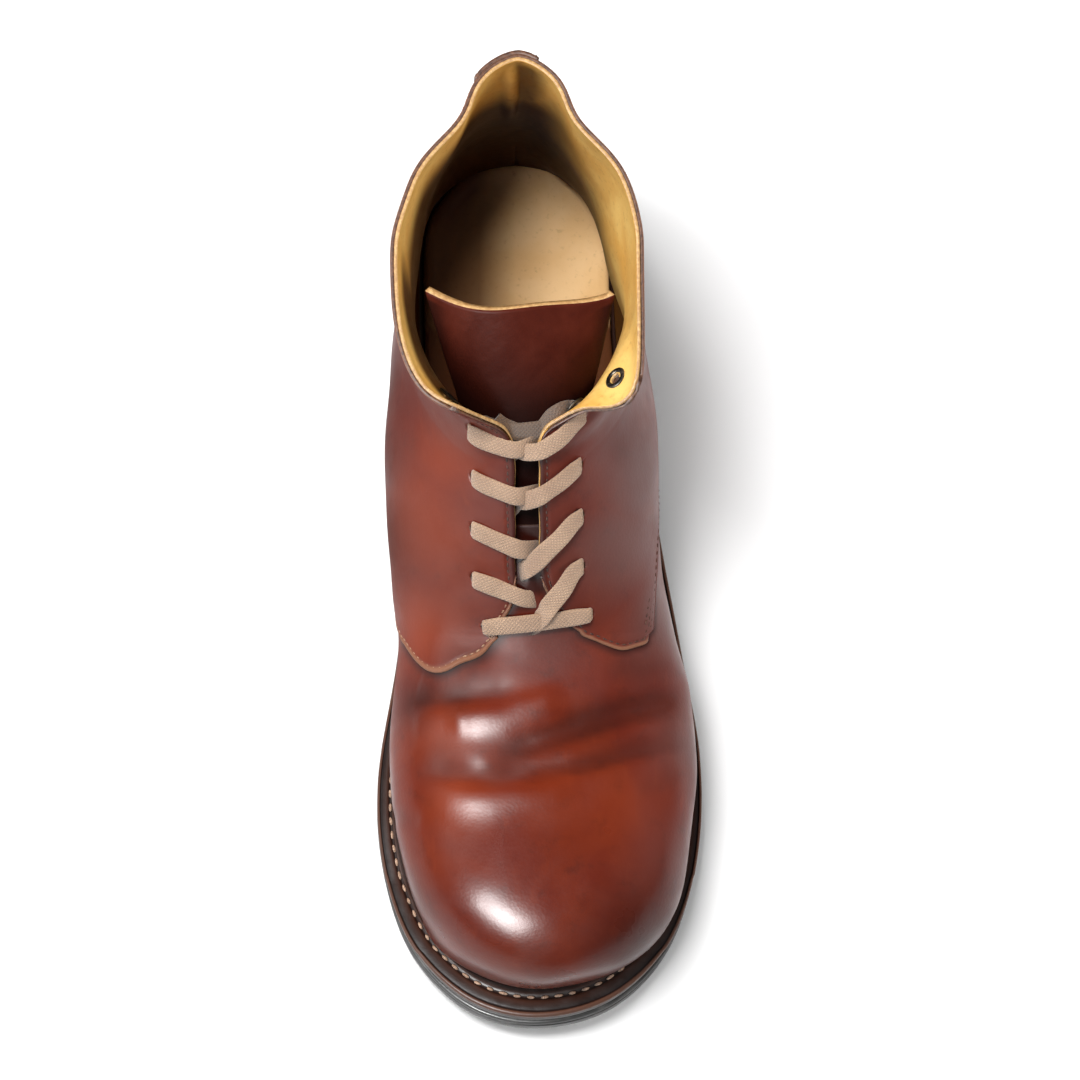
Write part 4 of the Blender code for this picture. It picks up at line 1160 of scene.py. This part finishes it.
def makeQuarter(side):
    form = quarterForm
    bm, a, b = newGrid(form["columns"], form["rows"])
    curve = frontCurve(side)
    across = a - form["crowd"][0] * np.sin(4 * np.pi * a) / (4 * np.pi)
    along = b - form["crowd"][1] * np.sin(2 * np.pi * b) / (2 * np.pi)
    at = across * (len(curve) - 1)
    frontU, frontT = [np.interp(at, range(len(curve)), curve[:, k]) for k in (0, 1)]
    u = frontU + (topSection - frontU) * along
    t = frontT + (1 - across - frontT) * along
    u, t = roundCorner(side, u, t, collarCorner[side])
    points, normals, _ = upperSurface.frame(side, u, t)
    fromFront = np.linalg.norm(points - upperSurface.point(side, frontU, frontT), axis=1)
    fromTop = belowCollar(side, u, t, points)
    fromFacing = (1 - t) * upperSurface.sectionLength(side, u)
    rim = np.minimum(fromTop, np.where(u > form["facingFrom"], fromFacing, np.inf))
    edge = np.minimum(rim, fromFront)
    offset = form["out"] + ripple(points, form["ripple"]) * smoothStep(edge, *form["rippleFrom"])
    offset -= form["edgeDrop"] * (1 - smoothStep(edge, *form["edgeWide"]))
    offset -= groove(rim, *form["rimSeam"]) + groove(fromFront, *form["frontSeam"]) * (b > 0)
    offset += flare(side, u, t)
    if side < 0:               # the corner of the medial tab presses into the vamp's fold
        press, x, y, reach = form["tab"]
        offset += press * np.exp(-((points[:, 0] - x) ** 2 + (points[:, 1] - y) ** 2) / reach)
    placeVerts(bm, points + normals * offset[:, None])
    if side > 0:
        (front, back), (low, high) = form["tightY"], form["tightZ"]
        tight = [v for v in bm.verts if front < v.co.y < back and low < v.co.z < high]
        for _ in range(form["passes"]):
            bmesh.ops.smooth_vert(bm, verts=tight, factor=form["ease"], use_axis_x=True,
                                  use_axis_y=True, use_axis_z=True)
    pale = 1.0 if side < 0 else smoothStep(frontT, *form["paleFrom"])
    collar = 1 - smoothStep(fromTop, *form["collar"])
    paintLeather(bm, points, form["collarEdge"] * collar + form["frontEdge"] * pale * (
        1 - smoothStep(fromFront, *form["band"][side])))
    gap = form["gapShade"] * (1 - smoothStep(fromFacing, *form["gapWide"])) * (
        u < form["gapTo"]) * (1 - collar)
    front = form["frontShade"] * (1 - pale) * (1 - smoothStep(fromFront, *form["frontWide"]))
    darken(bm, np.maximum(gap, front))
    punchHoles(bm, eyeletCentres(side, form["out"]), holeForm["radius"])
    faceOutward(bm)
    name = "quarter_lateral" if side > 0 else "quarter_medial"
    addPiece(name, bm, upperSkins, ["upper"] if side > 0 else (), form["wall"])


makeQuarter(1)
makeQuarter(-1)
print("quarters cut and punched")

# lining, in one piece round the heel, with its cut edge showing at the collar; the counter
# fills it out behind, and a fold stands in its medial side near the back seam
liningForm = {
    "out": -0.36, "wall": 1.1, "columns": 120, "rows": 150, "from": 9.7, "crowd": 0.3,
    "counter": {0: 3.5, 1: 7.5, -1: 3.0}, "counterUp": ((13.2, 14.6), (15.8, 18.6)),
    "counterSide": (0.0, 0.14), "counterEnd": (0.40, 0.70), "ripple": 0.18,
    "rippleFrom": (0.1, 1.0), "fold": (2.4, -2.5, 2.2), "foldUp": (16.2, 17.6),
    "foldEnd": (19.0, 0.05, 0.6)}
# painted shade inside the lining, by mm below the collar or across from the back seam; the lit
# lateral wall darkens less, and the fold's dent is shaded
liningShade = {"lit": (0.06, 0.30), "back": (0.05, 0.20), "backLift": 9.0, "dark": 0.97,
               "darkFrom": (8.0, 34.0), "soft": 0.85, "softFrom": (35.0, 110.0),
               "frontFrom": (6.0, 13.0), "front": (0.5, 0.62), "dent": 0.75,
               "dentOne": (-3.0, 0.5), "dentOther": (5.0, 14.0), "dentFrom": (1.0, 6.0)}


def liningOffset(side, u, t, points, across):
    form = liningForm
    end, *endReach = form["foldEnd"]
    offset = form["out"] - groove(across, *form["fold"]) * smoothStep(
        u, *form["foldUp"]) * smoothStep(end - u, *endReach)
    offset += ripple(points, form["ripple"]) * smoothStep(topSection - u, *form["rippleFrom"])
    offset = np.minimum(offset, form["out"]) + flare(side, u, t)
    rise, fall = form["counterUp"]
    cup = smoothStep(u, *rise) * (1 - smoothStep(u, *fall))
    back, full = form["counter"][0], form["counter"][side]
    fill = back + (full - back) * smoothStep(t, *form["counterSide"])
    return offset - cup * fill * (1 - smoothStep(t, *form["counterEnd"]))


def liningDark(side, t, below, across):
    shade = liningShade
    lit = smoothStep(t, *shade["lit"]) * (side > 0)
    back = 1 - smoothStep(t, *shade["back"])
    deep = shade["dark"] * smoothStep(below - shade["backLift"] * back, *shade["darkFrom"]) * (
        1 - lit) + shade["soft"] * smoothStep(below, *shade["softFrom"]) * lit
    deep = np.maximum(deep, shade["dark"] * smoothStep(below, *shade["frontFrom"])
                      * smoothStep(t, *shade["front"]) * (side < 0))
    dent = shade["dent"] * smoothStep(across, *shade["dentOne"]) * (
        1 - smoothStep(across, *shade["dentOther"])) * smoothStep(below, *shade["dentFrom"])
    return np.clip(np.maximum(deep, dent), 0, shade["dark"])


def makeLiningPiece():
    form = liningForm
    whole = bmesh.new()
    for side in (1, -1):
        bm, a, b = newGrid(form["columns"], form["rows"])
        a, b = [v - form["crowd"] * np.sin(2 * np.pi * v) / (2 * np.pi) for v in (a, b)]
        u = form["from"] + (topSection - form["from"]) * b
        u, t = roundCorner(side, u, a, collarCorner[side])
        points, normals, _ = upperSurface.frame(side, u, t)
        across = t * upperSurface.sectionLength(side, u) * side
        offset = liningOffset(side, u, t, points, across)
        placeVerts(bm, points + normals * offset[:, None])
        paintVerts(bm, "deep", liningDark(side, t, belowCollar(side, u, t, points), across))
        mesh = bpy.data.meshes.new("half")
        bm.to_mesh(mesh)
        bm.free()
        whole.from_mesh(mesh)
        bpy.data.meshes.remove(mesh)
    closeSeams(whole, 0.05)
    punchHoles(whole, eyeletCentres(1, form["out"]) + eyeletCentres(-1, form["out"]),
               holeForm["liningRadius"])
    faceOutward(whole)
    addPiece("collar_lining", whole, [liningLeather, liningLeather, paleEdge],
             wall=form["wall"])


makeLiningPiece()
print("lining set in")

# tongue: its lower part lies under the facings, its free end stands behind the collar
tongueForm = {"first": 7.5, "last": 16.4, "rootHalf": 24.0, "half": 31.0, "depth": 4.8,
              "thick": 2.7, "top": (-9.0, 61.0, 157.5), "topHalf": 30.0, "bow": (7.0, 3.5),
              "columns": 110, "rows": 150, "freeShare": 0.24, "belly": (2.2, 0.6),
              "wave": (0.9, 3.3, 0.4), "sway": (1.1, 4.1, 0.5), "corner": (0.8, 0.97, 0.05),
              "lowShade": 0.95, "lowFrom": (0.0, 0.22), "sideShade": 0.8,
              "sideFrom": (0.72, 1.0), "bareTop": 0.985}


def fromMiddle(surface, u, across, ridge):       # by mm from the ridge or from the back seam
    side = np.where(across >= 0, 1, -1)
    length = np.where(side > 0, surface.sectionLength(1, u), surface.sectionLength(-1, u))
    t = np.abs(across) / length
    return eachSide(surface, side, u, 1 - t if ridge else t)


def makeTongue():
    form = tongueForm
    bm, a, b = newGrid(form["columns"], form["rows"])
    c = 2 * a - 1
    under = np.clip(b / (1 - form["freeShare"]), 0, 1)
    u = form["first"] + (form["last"] - form["first"]) * under
    half = form["rootHalf"] + (form["half"] - form["rootHalf"]) * under
    points, normals = fromMiddle(wholeSurface, u, c * half, True)
    base = points - normals * form["depth"]
    (x, y, z), bow = form["top"], form["bow"]
    top = np.stack((x + form["topHalf"] * c, y + bow[0] * c ** 2, z - bow[1] * c ** 2), 1)
    free = np.clip((b - (1 - form["freeShare"])) / form["freeShare"], 0, 1)
    places = base + (top - base) * free[:, None]
    (belly, flat), (rise, risePace, riseStart) = form["belly"], form["wave"]
    sway, swayPace, swayStart = form["sway"]
    places[:, 1] -= belly * np.sin(np.pi * free) * (1 - flat * c ** 2)
    places[:, 2] += rise * free * np.cos(risePace * c + riseStart) - rise * free
    places[:, 1] += free * sway * np.sin(swayPace * c + swayStart)
    places[:, 2] += free * groove(c, *form["corner"])
    placeVerts(bm, places)
    low = form["lowShade"] * smoothStep(form["bareTop"] - b, *form["lowFrom"])
    sides = form["sideShade"] * smoothStep(np.abs(c), *form["sideFrom"]) * (b < form["bareTop"])
    paintVerts(bm, "deep", np.maximum(low, sides))
    faceOutward(bm)
    addPiece("tongue_leather", bm, [tongueLeather, fleshSide, paleEdge],
             ["tongue"], form["thick"])


makeTongue()
print("tongue made")

# backstay, over the back seam from the collar down to the counter
backstayForm = {"half": 10.8, "wall": 1.2, "start": 14.8, "shift": -4.6, "lift": 1.95,
                "columns": 40, "rows": 120, "crowd": 0.15, "roundOver": 0.9, "round": 0.92,
                "waist": 0.10, "wave": (0.048, 5.0), "edgeDrop": 0.35, "edgeWide": (0, 0.8),
                "seam": (0.16, 1.8, 0.5), "edgePaint": 0.6, "edgePaintWide": (0.2, 1.2)}


def makeBackstay():
    form = backstayForm
    bm, a, b = newGrid(form["columns"], form["rows"])
    c = 2 * a - 1
    c = c + form["crowd"] * np.sin(np.pi * c) / np.pi
    u = form["start"] + (topSection - form["start"]) * b
    low = np.clip(1 - (u - form["start"]) / form["roundOver"], 0, 1)      # rounded lower end
    half = form["half"] * np.sqrt(1 - form["round"] * low ** 2)
    half = half * (1 - form["waist"] * np.sin(np.pi * b) ** 2)
    points, normals = fromMiddle(upperSurface, u, form["shift"] + c * half, False)
    fromSide = (1 - np.abs(c)) * half
    wave, pace = form["wave"]
    offset = form["lift"] + wave * np.sin(points[:, 2] / pace)
    offset -= form["edgeDrop"] * (1 - smoothStep(fromSide, *form["edgeWide"]))
    offset -= groove(fromSide, *form["seam"])
    placeVerts(bm, points + normals * offset[:, None])
    paintLeather(bm, points, form["edgePaint"] * (
        1 - smoothStep(fromSide, *form["edgePaintWide"])))
    faceOutward(bm)
    addPiece("backstay_strip", bm, upperSkins, ["backstay"], form["wall"])


makeBackstay()
print("backstay made")

# stitching of the upper; insets and depths in mm, places in u and t
upperThread = {"pitch": 2.5, "length": 1.7, "width": 0.6, "height": 0.5}
seams = {"rim": {**upperThread, "length": 1.75, "width": 0.62, "inset": 2.3, "sunk": 0.18,
                 "facingEnd": 9.35, "backSeam": 0.03, "tanTo": 270},
         "front": {**upperThread, "inset": 1.9, "sunk": 0.12, "skip": 4,
                   "share": {1: 0.97, -1: 0.95}},
         "side": {**upperThread, "sunk": 0.1, "insets": (3.3, 4.9), "from": 8.05, "to": 8.70,
                  "within": 0.56},
         "strip": {**upperThread, "width": 0.55, "height": 0.45, "sunk": 0.05,
                   "insets": (1.8, 3.6), "half": 0.92, "from": 0.35, "to": 0.03,
                   "points": 140}}
quarterHeart, rimHeart, linePoints = (12.0, 0.6), (15.0, 0.6), 260


def seamAlong(side, uv, inset, lift):    # a row set in from a line on the surface
    points, normals, _ = upperSurface.frame(side, uv[:, 0], uv[:, 1])
    _, across, out = pathFrames(points, normals)
    middle = len(points) // 2
    if np.dot(across[middle], upperSurface.point(side, *quarterHeart) - points[middle]) < 0:
        across = -across
    return points + across * inset + out * lift, out


def uvLine(start, end):
    share = np.linspace(0, 1, linePoints)
    return np.stack([np.interp(share, (0, 1), ends) for ends in zip(start, end)], 1)


def sewRim(side, tan, brown):            # tan along the collar, brown down the facing
    form = seams["rim"]
    corner = (topSection, 1.0)
    path = np.vstack((uvLine((topSection, form["backSeam"]), corner)[:-1],
                      uvLine(corner, (form["facingEnd"], 1.0))))
    u, t = roundCorner(side, path[:, 0], path[:, 1], collarCorner[side])
    points, normals, _ = upperSurface.frame(side, u, t)
    _, across, _ = pathFrames(points, normals)
    target = upperSurface.point(side, *rimHeart)
    turn = np.sign(np.einsum("ij,ij->i", across, target - points))[:, None]
    rim = points + across * turn * form["inset"] + normals * (quarterForm["out"] - form["sunk"])
    for rows, share in ((tan, slice(0, form["tanTo"])), (brown, slice(form["tanTo"] - 1, None))):
        row = np.hstack((rim, normals))[share]
        row = resample(row, int(runLength(row[:, :3])[-1]))
        sewRow(rows, row[:, :3], row[:, 3:], form)


def sewFront(side, thread, brown):
    form, curve, out = seams["front"], frontCurve(side), quarterForm["out"]
    shown = curve[form["skip"]:int(len(curve) * form["share"][side])]
    sewRow(thread, *seamAlong(side, shown, form["inset"], out - form["sunk"]), form)
    form = seams["side"]
    if side > 0:               # two short rows behind the corner of the lateral tab
        near = curve[(curve[:, 0] > form["from"]) & (curve[:, 0] < form["to"])
                     & (curve[:, 1] < form["within"])]
        for inset in form["insets"]:
            sewRow(brown, *seamAlong(side, near, inset, out - form["sunk"]), form)


def sewUpper():
    tan, brown = bmesh.new(), bmesh.new()
    for side in (1, -1):
        sewRim(side, tan, brown)
        sewFront(side, tan if side < 0 else brown, brown)
    strip, form = backstayForm, seams["strip"]
    u = np.linspace(strip["start"] + form["from"], topSection - form["to"], form["points"])
    for edge in (-1, 1):
        for inset in form["insets"]:
            across = strip["shift"] + edge * (strip["half"] * form["half"] - inset)
            points, normals = fromMiddle(upperSurface, u, np.full(len(u), across), False)
            sewRow(brown, points + normals * (strip["lift"] - form["sunk"]), normals, form)
    addPiece("rim_stitching", tan, [tanThread])
    addPiece("seam_stitching", brown, [brownThread])


sewUpper()
print("upper sewn")

# eyelet rings, on the lining side of each hole
ringForm = {"radius": 3.0, "tube": 0.85, "flat": 0.55, "depth": 1.75, "around": 10,
            "steps": 28}


def makeEyelets(side):
    form = ringForm
    bm = bmesh.new()
    for row in range(eyeletPlan["rows"]):
        centre, out, up = upperSurface.frame(side, *eyeletPlace(side, row))
        up = up - out * np.dot(up, out)
        up /= np.linalg.norm(up)
        middle = Vector((centre - out * form["depth"]) * mm)
        turn = Matrix((Vector(np.cross(up, out)), Vector(up), Vector(out))).transposed()
        spread = turn @ Matrix(((1, 0, 0), (0, 0, 1), (0, 1, 0)))
        tube = form["tube"] * mm
        shape = spread.to_4x4() @ Matrix.Diagonal((tube, tube * form["flat"], mm, 1))
        shape.translation = middle + turn @ Vector((form["radius"] * mm, 0, 0))
        before = set(bm.edges)
        bmesh.ops.create_circle(bm, segments=form["around"], radius=1.0, matrix=shape)
        edges = [e for e in bm.edges if e not in before]
        bmesh.ops.spin(bm, geom=edges, cent=middle, axis=Vector(out), angle=2 * math.pi,
                       steps=form["steps"], use_merge=True)
    closeSeams(bm, 0.01)
    name = "lateral" if side > 0 else "medial"
    addPiece("eyelets_" + name, bm, [eyeletMetal],
             [f"eyelet_{name}_{row + 1}" for row in range(eyeletPlan["rows"])])


makeEyelets(1)
makeEyelets(-1)
print("eyelets set")

# lace: two ends from the first bar, crossing row by row through the eyelets. Every stop is a
# section, mm across from the ridge (plus is lateral), height over the leather, and how much
# the lace narrows there
laceForm = {"width": 6.3, "thick": 1.2, "over": 1.85, "hump": 2.35, "under": -3.15,
            "steps": 0.9, "holeWidth": 4.0, "holeThick": 1.9, "around": 14, "fineness": 40,
            "shadeFrom": (-0.2, 2.4), "shade": 0.85, "upward": (0.0, 1.0, 0.75),
            "square": (0.45, 0.7), "waver": ((0.03, 6.0), (0.02, 2.3))}
laceReach = sectionForm["gap"] + eyeletPlan["setback"]
barForm = {"hole": (0.7, 0.1, 1), "end": (0.3, -0.3, 0.4),
           "lifts": ((0.15, 0.1), (0.32, 0.25), (0.5, 0.25), (0.68, 0.25), (0.85, 0.1))}
# an arm runs from the far facing's underside out to its eyelet: share of its drop, mm toward
# its own side, height, share of its lift, more on the lateral side, share of its sway
armForm = {"drop": {1: 1.75, -1: 0.65}, "dropOver": 1.15, "lateralLift": 0.8,
           "start": (-0.05, -6.0, 0.2),
           "stops": ((0.16, -3.4, -2.4, 0, 0, 0), (0.30, -0.5, -0.4, 0, 0.9, 0),
                     (0.46, 2.6, 0, 0.8, 0, 0), (0.62, 5.2, 0, 1, 0, 0),
                     (0.86, 10.0, 0, 1, 0, 0.2), (1.08, 14.2, 2.35, 0, 0, 0)),
           "through": ((0.3, 1.85, 0), (0.7, 0.1, 1), (0.3, -2.2, 1), (-2.0, -3.15, 0))}
# under the facing to the next arm, and where the end is tucked behind the top of the tongue
underForm = {"shares": (0.35, 0.7), "in": 2.4, "rise": 0.1, "tuck": (0.15, 9.5),
             "tail": ((16.28, -4.0, -3.9, 0.5), (16.36, 1.0, -3.9, 0.5), (16.46, 6.5, -3.95, 0),
                      (16.7, 9.5, -3.55, 0))}


def overFacings(u, across, lift):        # a point over a facing, or between the two
    half = sectionForm["gap"]
    if abs(across) > half:
        side = 1 if across > 0 else -1
        t = 1 - (abs(across) - half) / float(upperSurface.sectionLength(side, u))
        point, out, _ = upperSurface.frame(side, u, t)
        return point + out * lift, out
    share = 0.5 + 0.5 * across / half
    (medial, medialOut, _), (lateral, lateralOut, _) = [upperSurface.frame(s, u, 1.0)
                                                        for s in (-1, 1)]
    out = medialOut * (1 - share) + lateralOut * share
    out /= np.linalg.norm(out)
    return medial * (1 - share) + lateral * share + out * lift, out


def throughHole(side, u):
    return [(u, side * (laceReach + past), height, narrow)
            for past, height, narrow in armForm["through"]]


def armPath(side, row, sway):
    form, lateral = armForm, side > 0
    u, drop = eyeletPlace(side, row)[0], armForm["drop"][side]
    low, lift = u - drop * form["dropOver"], laceForm["over"] + form["lateralLift"] * lateral
    back, across, up = form["start"]
    stops = [(low + back, side * across, laceForm["under"] + up, 0)]
    for share, across, height, ofLift, more, ofSway in form["stops"]:
        stops.append((low + drop * share, side * across,
                      height + lift * ofLift + more * lateral + sway * ofSway, 0))
    return stops + throughHole(side, u)


def laceStops(side):           # every place one end of the lace passes through
    form, under = underForm, laceForm["under"]
    stops = throughHole(side, eyeletPlace(side, 0)[0])[1:]
    stops[-1] = (stops[-1][0] + form["rise"],) + stops[-1][1:]
    for row in range(1, eyeletPlan["rows"] - 1):
        before = eyeletPlace(side, row - 1)[0]
        side = -side
        arm = armPath(side, row, float(rng.uniform(-1, 1)))
        place, across = arm[0][:2]
        inner = laceReach - form["in"]
        for f in form["shares"]:
            stops.append((before + (place - before) * f,
                          -side * (inner + (abs(across) - inner) * f), under, 0))
        stops += arm
    before = eyeletPlace(side, eyeletPlan["rows"] - 2)[0]
    side = -side
    rise, across = form["tuck"]
    stops.append((before + rise, -side * across, under, 0))
    return stops + [(u, side * across, height + more * side, 0)
                    for u, across, height, more in form["tail"]]


def laceCentre(stops):
    form = laceForm
    points, outs = zip(*[overFacings(u, across, lift) for u, across, lift, _ in stops])
    narrow = np.array([s[3] for s in stops], float)[:, None]
    shade = smoothStep(-np.array([s[2] for s in stops], float), *form["shadeFrom"])[:, None]
    data = np.hstack((np.array(points), np.array(outs), narrow, shade))
    places = np.linspace(0, len(stops) - 1, form["fineness"] * len(stops))
    fine = np.array([smoothAt(data, k) for k in places])
    run = runLength(fine[:, :3])
    even = np.linspace(0, run[-1], int(run[-1] / form["steps"]))
    return np.stack([np.interp(even, run, fine[:, k]) for k in range(data.shape[1])], 1)


def sweepLace(path):
    form, count = laceForm, len(path)
    points, (narrow, shade) = path[:, :3], np.clip(path[:, 6:8].T, 0, 1)
    along = np.gradient(points, axis=0)
    along /= np.linalg.norm(along, axis=1, keepdims=True)
    up = np.array(form["upward"]) / np.linalg.norm(form["upward"])
    wide = up - along * (along @ up)[:, None]
    wide /= np.linalg.norm(wide, axis=1, keepdims=True)
    for _ in range(2):
        wide[1:-1] = soften(wide[:-2], wide[1:-1], wide[2:])
    wide -= along * np.einsum("ij,ij->i", wide, along)[:, None]
    wide /= np.linalg.norm(wide, axis=1, keepdims=True)
    out = np.cross(along, wide)
    bm, a, b = newGrid(form["around"], count - 1)
    row = np.rint(b * (count - 1)).astype(int)
    c, s = np.cos(2 * np.pi * a), np.sin(2 * np.pi * a)
    x, z = [np.sign(v) * np.abs(v) ** power for v, power in zip((c, s), form["square"])]
    halfWide, halfThick = [0.5 * (form[free] + (form[hole] - form[free]) * narrow[row])
                           for free, hole in (("width", "holeWidth"), ("thick", "holeThick"))]
    run = runLength(points)[row]
    halfWide *= 1 + sum(size * np.sin(run / pace) for size, pace in form["waver"])
    placeVerts(bm, points[row] + wide[row] * (x * halfWide)[:, None]
               + out[row] * (z * halfThick)[:, None])
    weave = bm.verts.layers.float_vector.new("weave")
    for vert, distance, side in zip(bm.verts, run, x * halfWide):
        vert[weave] = (float(distance) * mm, float(side) * mm, 0.0)
    paintVerts(bm, "deep", form["shade"] * shade[row])
    closeSeams(bm, 0.01)
    bmesh.ops.holes_fill(bm, edges=[e for e in bm.edges if e.is_boundary], sides=0)
    bmesh.ops.recalc_face_normals(bm, faces=bm.faces)
    return bm


def makeLaces():
    form, reach = barForm, laceReach
    low, high = eyeletPlace(-1, 0)[0], eyeletPlace(1, 0)[0]
    (past, height, full), (beyond, less, narrow) = form["hole"], form["end"]
    hump = laceForm["hump"] + less
    bar = [(low, -reach - past, height, full), (low, -reach - beyond, hump, narrow)]
    bar += [(low + (high - low) * f, -reach + 2 * reach * f, laceForm["over"] + up, 0)
            for f, up in form["lifts"]]
    bar.append((high, reach + beyond, hump, narrow))
    medial, lateral = laceStops(-1), laceStops(1)
    for name, stops, nodes in (("lace_first_end", bar + lateral, ["lace_1", "lace_2"]),
                               ("lace_second_end", medial, ["lace_3", "lace_4"])):
        addPiece(name, sweepLace(laceCentre(stops)), [laceWeave], nodes)


makeLaces()
print("lace run")

# studio
studio = {"floor": 6.0, "world": 0.20, "air": (1.0, 0.995, 0.985, 1), "aim": (0, 0, 0.05),
          "main": {"place": (-0.33, 0.19, 1.50), "size": (0.42, 0.42), "power": 22,
                   "lights": "diffuse"},
          "left": {"place": (-1.1, 0.2, 0.95), "size": (0.8, 0.6), "power": 10,
                   "lights": "diffuse"},
          "right": {"place": (1.3, 0.0, 0.75), "size": (1.0, 0.6), "power": 10,
                    "lights": "diffuse"},
          "key": {"place": (-0.66, -0.78, 1.12), "size": (0.62, 0.52), "power": 98,
                  "lights": "glossy"}}
floorLook = {"dark": (0.90, 0.90, 0.90, 1), "light": (0.93, 0.93, 0.93, 1), "cloud": (3.0, 2)}


def addLight(name, form):
    data = bpy.data.lights.new(name, "AREA")
    data.shape, data.energy = "RECTANGLE", form["power"]
    data.size, data.size_y = form["size"]
    light = newObject(name, data)
    light.location = form["place"]
    light.visible_glossy = form["lights"] != "diffuse"      # a shaded lamp leaves no glare
    light.visible_diffuse = form["lights"] != "glossy"      # a card that only shines
    toward = Vector(studio["aim"]) - Vector(form["place"])
    light.rotation_euler = toward.to_track_quat("-Z", "Y").to_euler()


def addFloor():
    bm = bmesh.new()
    bmesh.ops.create_grid(bm, x_segments=1, y_segments=1, size=studio["floor"] / 2)
    mesh = bpy.data.meshes.new("studioFloor")
    bm.to_mesh(mesh)
    bm.free()
    floor = newObject("studioFloor", mesh)
    material, tree, shader = newMaterial("paleFloor", Roughness=0.6)
    cloud = noiseOf(tree, objectPlace(tree), *floorLook["cloud"])
    finish(tree, shader, mixColour(tree, cloud, floorLook["dark"], floorLook["light"]))
    mesh.materials.append(material)


def addWorld():
    world = bpy.data.worlds.new("paleRoom")
    world.use_nodes = True
    shade = world.node_tree.nodes["Background"]
    shade.inputs["Color"].default_value = studio["air"]
    shade.inputs["Strength"].default_value = studio["world"]
    bpy.context.scene.world = world


addFloor()
addWorld()
for name in ("main", "left", "right", "key"):
    addLight(name + "Softbox", studio[name])
bpy.context.scene.view_settings.view_transform = "Standard"
print("studio lit")
